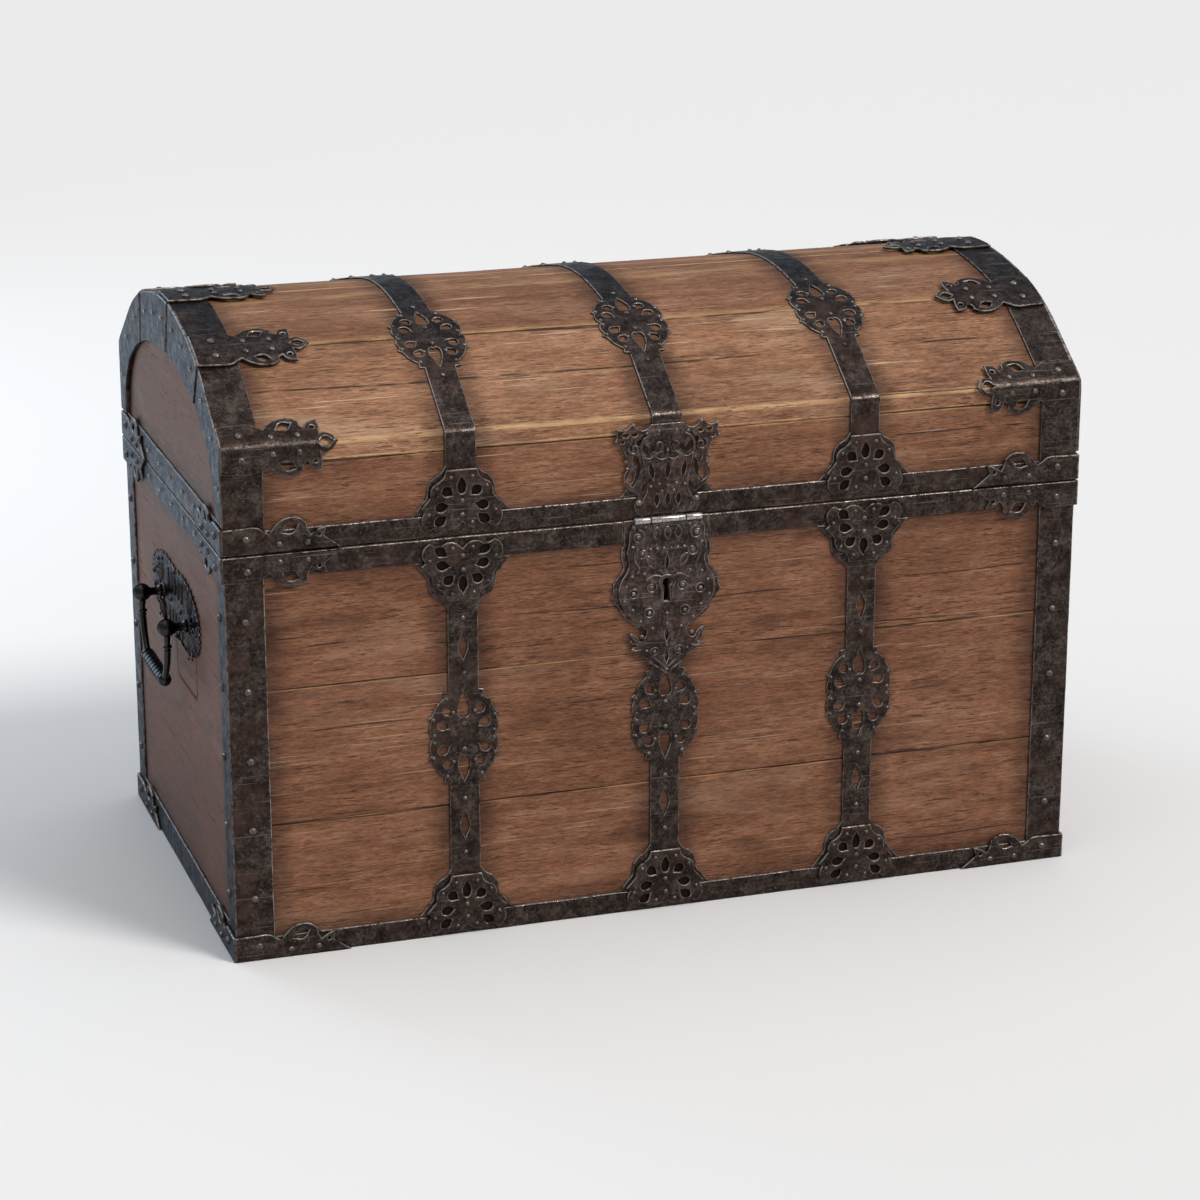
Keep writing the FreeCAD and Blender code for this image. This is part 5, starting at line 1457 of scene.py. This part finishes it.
def flap(name):
    """The shield with its keyhole and slots, its scrolls, cups and studs left standing."""
    slots = [lifted(KEYHOLE, -96), oval(0, -50, 18, 4), oval(0, -134.5, 17, 4.6), oval(0, -160.5, 15, 4.6)]
    slots += mirrored_paths([ring(38.5, -140, 2.4)])
    shield = flat_plate(name, mirror_points(FLAP_EDGE), slots, FLAP, FLAP_FILED)
    loops = [oval(x, -17, 16, 8) for x in (-12.5, 0, 12.5)] + mirrored_paths([oval(19.5, -49, 18, 7.5, -32)])
    rims = raised_lines("rims", loops, FLAP_RIM, FLAP)
    collar = smooth(
        (-7, -93), (-6.5, -82), (-9, -75), (-6, -68), (0, -65.5), (6, -68), (9, -75), (6.5, -82), (7, -93)
    )
    scrolls = mirrored_paths([
        volute(34.5, -19, 8.5, 1, 90), volute(29.5, -38.5, 8, -1, 60), volute(18.5, -78.5, 7, 1, 150),
        smooth((37.5, -36), (38, -46), (33, -56), (35, -62)), smooth((7, -67), (15, -65), (25, -70)),
        smooth((22, -165), (12, -172), (1, -180)), smooth((19, -158), (10, -166), (1, -174)),
        smooth((43, -148.5), (36, -151), (29, -150)), smooth((46, -129), (39, -137), (35, -145)),
    ])
    lines = raised_lines("scrolls", scrolls + [collar], FLAP_SCROLL, FLAP, closed=False)
    cups = mirrored_paths([ring(39.5, -84, 5.4), ring(21, -108, 5.4), ring(14.5, -154, 4.6)])
    cup_rims = raised_lines("cups", cups, FLAP_RIM, FLAP)
    # A dark sheet of painted shade in each cup.
    shade_sheets = shade_sheet("shade_sheets", cups, FLAP + 0.2)
    domes = both_sides((
        (39.5, -84), (21, -108), (14.5, -154), (34.5, -19), (29.5, -38.5), (18.5, -78.5), (29.5, -135),
    ), FLAP)
    studs = both_sides((
        (41, -64), (40.5, -103), (17, -126.5), (20, -34), (12, -34), (4, -34), (27, -62), (40.5, -30),
        (39.5, -8), (26, -8), (50, -92), (48, -75), (31, -117), (8, -60), (24, -152),
    ), FLAP)
    studs += [(0, y, FLAP) for y in (-110, -122, -148, -176)]
    return joined(name, [
        shield, rims, lines, cup_rims, shade_sheets, heads("domes", domes, *FLAP_DOME), heads("studs", studs, *STUD),
    ])


hasp = stood(flap("hasp_flap_ironwork"), 0, (0, FLAP_Y, BARREL_Z))
hasp = joined("hasp_flap_ironwork", [hasp, knuckle(-20, 20)])
fitted(hasp, hasp_iron, "hasp", "hasp_iron", "hasp_flap")
fitted(filed_copy("hasp_staple", "filed", *STAPLE_FILED), hasp_iron, "hasp", "hasp_iron", "hasp_staple")

# Handle plates: pierced ovals on the ends with a fan of wedges and beads round each post and a toothed edge,
# nailed flat on the boards under the posts of the handles.

HANDLE_Z = 328
PLATE_RISE = 6.5
POST_Y = 72
HANDLE_PLATE_HALF = (137, 47)
HANDLE_PLATE_FILED = 0.9
PLATE_TEETH = 46
TOOTH_ROOT = 0.925
WEDGE_TURNS = (-90, -60, -30, 0, 30, 60, 90)
COLLAR = (9, 1.6)
HOLE_RIM = 1.3
BEAD_RING = 39
PLATE_BEAD = (2.4, 2.0)
PLATE_PIN = (3.2, 2.2)
handle_plate_iron = iron_material(
    "handle_plate_iron", bloom=0.05, relief=0.5, tint=(0.5, 0.5, 0.52), gloss=0.1, rim=(0.24, 0.29, 0.35)
)


def power(value, exponent):
    """A power that keeps the sign of its value."""
    return math.copysign(abs(value) ** exponent, value)


def handle_plate(name):
    """A pierced oval on the XY plane with a toothed edge."""
    outline = []
    for index in range(2 * PLATE_TEETH):
        turn = math.pi * index / PLATE_TEETH
        reach = TOOTH_ROOT if index % 2 else 1
        swell = 1 - 0.10 * math.cos(2 * turn) ** 8
        x = HANDLE_PLATE_HALF[0] * power(math.cos(turn), 0.85) * reach
        y = HANDLE_PLATE_HALF[1] * power(math.sin(turn), 0.8) * reach * swell
        outline.append((x, y, index % 2 == 0))
    holes = []
    beads = []
    for side in (-1, 1):
        post = (side * POST_Y, -PLATE_RISE)
        for turn in WEDGE_TURNS:
            angle = turn if side > 0 else 180 - turn
            holes.append(teardrop(post, angle, 14, 21, 8.5))
            out = math.radians(angle)
            beads.append((post[0] + BEAD_RING * math.cos(out), post[1] + BEAD_RING * math.sin(out), BAND))
    for x in (-36, -18, 0, 18, 36):
        holes += [oval(x, 20, 22, 6), oval(x, -24, 20, 6)]
    sheet = flat_plate(name, outline, holes, BAND, HANDLE_PLATE_FILED)
    radius, bead_radius = COLLAR
    around = [ring(side * POST_Y, -PLATE_RISE, radius) for side in (-1, 1)]
    collars = raised_lines("collars", around, bead_radius, BAND)
    rims = raised_lines("rims", holes, HOLE_RIM, BAND - 0.2)
    pins = both_sides(((122, 4), (27, -4)), BAND) + [(0, 36, BAND), (0, -40, BAND)]
    # The piercings are backed with a dark sheet of painted shade.
    return joined(name, [
        sheet, collars, rims, shade_sheet("shade_sheets", holes, SHADE_SHEET_THICKNESS), heads("beads", beads, *PLATE_BEAD),
        heads("pins", pins, *PLATE_PIN),
    ])


def fitted_twice(left, right_name, material, node):
    """Fit a piece to the left end, and its copy to the right end."""
    right = twin(left, HALF_TURN)
    right.name = right_name
    fitted(left, material, "chest", "handle_iron", node)
    fitted(right, material, "chest", "handle_iron")


left_plate = stood(handle_plate("left_handle_plate"), -90, (-END_X + BAND, 0, HANDLE_Z + PLATE_RISE))
fitted_twice(left_plate, "right_handle_plate", handle_plate_iron, "handle_plates")

# Posts: forged stems through plate and board, clenched inside, each ending in a slotted ball with a pin for
# the handle.

POST_X = 525
BALL = 10.5
SLOT = 4.4
STEM_PROFILE = (
    (-473, 8), (-475.5, 8), (-476, 4.5), (-500, 4.5), (-502, 7.5), (-504.5, 7.5), (-507, 5), (-513, 4.6),
    (-517, 6),
)
handle_iron = iron_material(
    "handle_iron", bloom=0.1, relief=0.25, tint=(0.2, 0.155, 0.13), gloss=0.14, wax=0.35
)


def slotted_ball(y):
    """A ball with the slot for the tang of the handle sawn into it."""
    ball = formed(
        bpy.ops.mesh.primitive_uv_sphere_add, segments=32, ring_count=20, radius=BALL * MM,
        location=(-POST_X * MM, y * MM, HANDLE_Z * MM),
    )
    saw = formed(
        bpy.ops.mesh.primitive_cube_add, ((BALL + 14) * MM, SLOT * MM, 3 * BALL * MM), size=1,
        location=((-POST_X - BALL / 2 - 1) * MM, y * MM, HANDLE_Z * MM),
    )
    pick(ball)
    cut = ball.modifiers.new("slot", "BOOLEAN")
    cut.operation = "DIFFERENCE"
    cut.object = saw
    cut.solver = "EXACT"
    bpy.ops.object.modifier_apply(modifier=cut.name)
    bpy.data.objects.remove(saw)
    pick(ball)
    bpy.ops.object.shade_smooth_by_angle(angle=math.radians(35))
    return ball


def turned_stem(y):
    """The stem from the clench inside the board to the neck of the ball, turned from (x, radius) steps."""
    start, radius = STEM_PROFILE[0]
    stem = formed(
        bpy.ops.mesh.primitive_circle_add, vertices=20, radius=radius * MM, fill_type="NGON",
        location=(start * MM, y * MM, HANDLE_Z * MM), rotation=(0, math.radians(-90), 0),
    )
    bpy.ops.object.mode_set(mode="EDIT")
    bpy.ops.mesh.select_all(action="SELECT")
    for (x0, r0), (x1, r1) in zip(STEM_PROFILE, STEM_PROFILE[1:]):
        bpy.ops.mesh.extrude_region_move(TRANSFORM_OT_translate={"value": ((x1 - x0) * MM, 0, 0)})
        centre = (x1 * MM, y * MM, HANDLE_Z * MM)
        bpy.ops.transform.resize(value=(1, r1 / r0, r1 / r0), center_override=centre)
    bpy.ops.mesh.select_all(action="SELECT")
    bpy.ops.mesh.normals_make_consistent(inside=False)
    bpy.ops.object.mode_set(mode="OBJECT")
    bpy.ops.object.shade_smooth_by_angle(angle=math.radians(40))
    return stem


post_parts = []
for y in (-POST_Y, POST_Y):
    post_parts += [slotted_ball(y), turned_stem(y)]
left_posts = joined("left_handle_posts", post_parts)
fitted_twice(left_posts, "right_handle_posts", handle_iron, "handle_posts")

# Handles: forged bails that hang from the posts by flat tangs, with a collar on each arm, a knob at each
# corner and a square grip twisted while hot.

GRIP = 12.5
GRIP_Y = 48
GRIP_DROP = 69
GRIP_EDGE = 1.4
GRIP_WEAR_AND_HIGHLIGHT = 1.6
GRIP_SHINE = 1.6
GRIP_TWIST = 810
GRIP_STEPS = 64
ARM = (
    (POST_Y, -9, 3.6), (72.5, -20, 3.5), (70.5, -34, 4.2), (65, -48, 4.0), (56, -60, 3.8),
    (GRIP_Y, -GRIP_DROP, 4.6),
)
KNOBS = (
    (POST_Y, -22, 5.6, 5.4, 90), (POST_Y, -26.5, 4.8, 3.4, 90), (GRIP_Y, -GRIP_DROP, 8, 15),
    (GRIP_Y - 8, -GRIP_DROP, 7, 4),
)
TANG = (8, 4, 18)
TANG_DROP = 6


def bar(name, points):
    """A round bar in the YZ plane through (y, z, radius) points."""
    curve = bpy.data.curves.new(name, "CURVE")
    curve.dimensions = "3D"
    curve.bevel_depth = MM
    curve.bevel_resolution = 3
    curve.resolution_u = 8
    curve.use_fill_caps = True
    spline = curve.splines.new("BEZIER")
    spline.bezier_points.add(len(points) - 1)
    for point, (y, z, radius) in zip(spline.bezier_points, points):
        point.handle_left_type = point.handle_right_type = "AUTO"
        point.co = (0, y * MM, z * MM)
        point.radius = radius
    piece = bpy.data.objects.new(name, curve)
    bpy.context.scene.collection.objects.link(piece)
    pick(piece)
    bpy.ops.object.convert(target="MESH")
    bpy.ops.object.shade_smooth()
    return bpy.context.object


def bead(y, z, radius, length, lean=0):
    """A forged knob with its axis along Y, leaning about X."""
    piece = formed(
        bpy.ops.mesh.primitive_uv_sphere_add, (radius * MM, radius * MM, length / 2 * MM), segments=24,
        ring_count=14, radius=1, rotation=(math.radians(90 + lean), 0, 0), location=(0, y * MM, z * MM),
    )
    bpy.ops.object.shade_smooth()
    return piece


def twisted_grip():
    size = (GRIP * MM, GRIP * MM, 2 * GRIP_Y * MM)
    grip = formed(bpy.ops.mesh.primitive_cube_add, size, size=1)
    rounded(grip, GRIP_EDGE)
    mark_wear_and_highlight(grip, GRIP_WEAR_AND_HIGHLIGHT, GRIP_SHINE)
    bpy.ops.object.mode_set(mode="EDIT")
    for step in range(1, GRIP_STEPS):
        bpy.ops.mesh.select_all(action="SELECT")
        cut = (-GRIP_Y + 2 * GRIP_Y * step / GRIP_STEPS) * MM
        bpy.ops.mesh.bisect(plane_co=(0, 0, cut), plane_no=(0, 0, 1))
    bpy.ops.object.mode_set(mode="OBJECT")
    twist = grip.modifiers.new("twist", "SIMPLE_DEFORM")
    twist.deform_method = "TWIST"
    twist.deform_axis = "Z"
    twist.angle = math.radians(GRIP_TWIST)
    bpy.ops.object.modifier_apply(modifier=twist.name)
    grip.data.transform(shift(0, 0, -GRIP_DROP) @ Matrix.Rotation(math.radians(90), 4, "X"))
    bpy.ops.object.shade_smooth_by_angle(angle=math.radians(40))
    return grip


def handle(name):
    """A handle that hangs from the origin, its grip along Y."""
    pieces = [twisted_grip()]
    for side in (-1, 1):
        pieces.append(bar("arm", [(side * y, z, radius) for y, z, radius in ARM]))
        pieces += [bead(side * y, *knob) for y, *knob in KNOBS]
        tang = formed(
            bpy.ops.mesh.primitive_cube_add, Vector(TANG) * MM, size=1,
            location=(0, side * POST_Y * MM, -TANG_DROP * MM),
        )
        rounded(tang, 1.2, 3)
        pieces.append(tang)
    return joined(name, pieces)


model = handle("handle")
for side, x in (("left", -POST_X), ("right", POST_X)):
    copy = twin(model, shift(x, 0, HANDLE_Z))
    copy.name = f"{side}_handle"
    fitted(copy, handle_iron, f"{side}_bail", "handle_iron", f"{side}_bail")
bpy.data.objects.remove(model)

# Studio: a plain pale floor, a broad sun from the front right, a lamp behind the left end and a sky that is
# brighter overhead, with a camera where the photograph was taken from.

CAMERA = (-1190.95, -3605.07, 1471.82)
CAMERA_TURN = (-18.49, 17.32)
PICTURE_WIDTH = 1200
FOCAL_PIXELS = 3317.9
SENSOR = 36

floor = formed(bpy.ops.mesh.primitive_plane_add, size=60)
floor.name = "floor"
pale, _, floor_shader, _ = material_base("pale_floor")
floor_shader.inputs["Base Color"].default_value = (0.83, 0.83, 0.83, 1)
floor_shader.inputs["Roughness"].default_value = 0.9
floor.data.materials.append(pale)


def lamp(name, kind, spot, aim, power, colour):
    """A lamp at a spot that looks at an aim; returns its settings."""
    data = bpy.data.lights.new(name, kind)
    data.energy = power
    data.color = colour
    item = bpy.data.objects.new(name, data)
    item.location = spot
    item.rotation_euler = (Vector(aim) - Vector(spot)).to_track_quat("-Z", "Y").to_euler()
    bpy.context.scene.collection.objects.link(item)
    return data


sun = lamp("key", "SUN", (0.48, -0.56, 0.67), (0, 0, 0), 1.9, (1, 0.97, 0.93))
sun.angle = 0.35
left_sky = lamp("left_sky", "AREA", (-2.05, 2.78, 1.44), (-0.5, 0, 0.35), 25, (0.60, 0.79, 1))
left_sky.size = 1.4

world = bpy.data.worlds.new("studio")
bpy.context.scene.world = world
world.use_nodes = True
sky = world.node_tree.nodes["Background"]
sky.inputs["Color"].default_value = (0.92, 0.93, 0.95, 1)
direction = place(world.node_tree, "ShaderNodeTexCoord").outputs["Generated"]
upward = place(world.node_tree, "ShaderNodeSeparateXYZ", {0: direction}).outputs[2]
world.node_tree.links.new(spread(world.node_tree, upward, 0.72, 0.92, 0.40, 1.25), sky.inputs["Strength"])

azimuth, elevation = (math.radians(angle) for angle in CAMERA_TURN)
back = Vector((
    math.sin(azimuth) * math.cos(elevation), -math.cos(azimuth) * math.cos(elevation), math.sin(elevation),
))
camera_data = bpy.data.cameras.new("camera")
camera_data.sensor_width = SENSOR
camera_data.lens = FOCAL_PIXELS * SENSOR / PICTURE_WIDTH
camera = bpy.data.objects.new("camera", camera_data)
camera.location = Vector(CAMERA) * MM
camera.rotation_mode = "QUATERNION"
camera.rotation_quaternion = (-back).to_track_quat("-Z", "Y")
bpy.context.scene.collection.objects.link(camera)
bpy.context.scene.camera = camera
bpy.context.scene.view_settings.view_transform = "Standard"
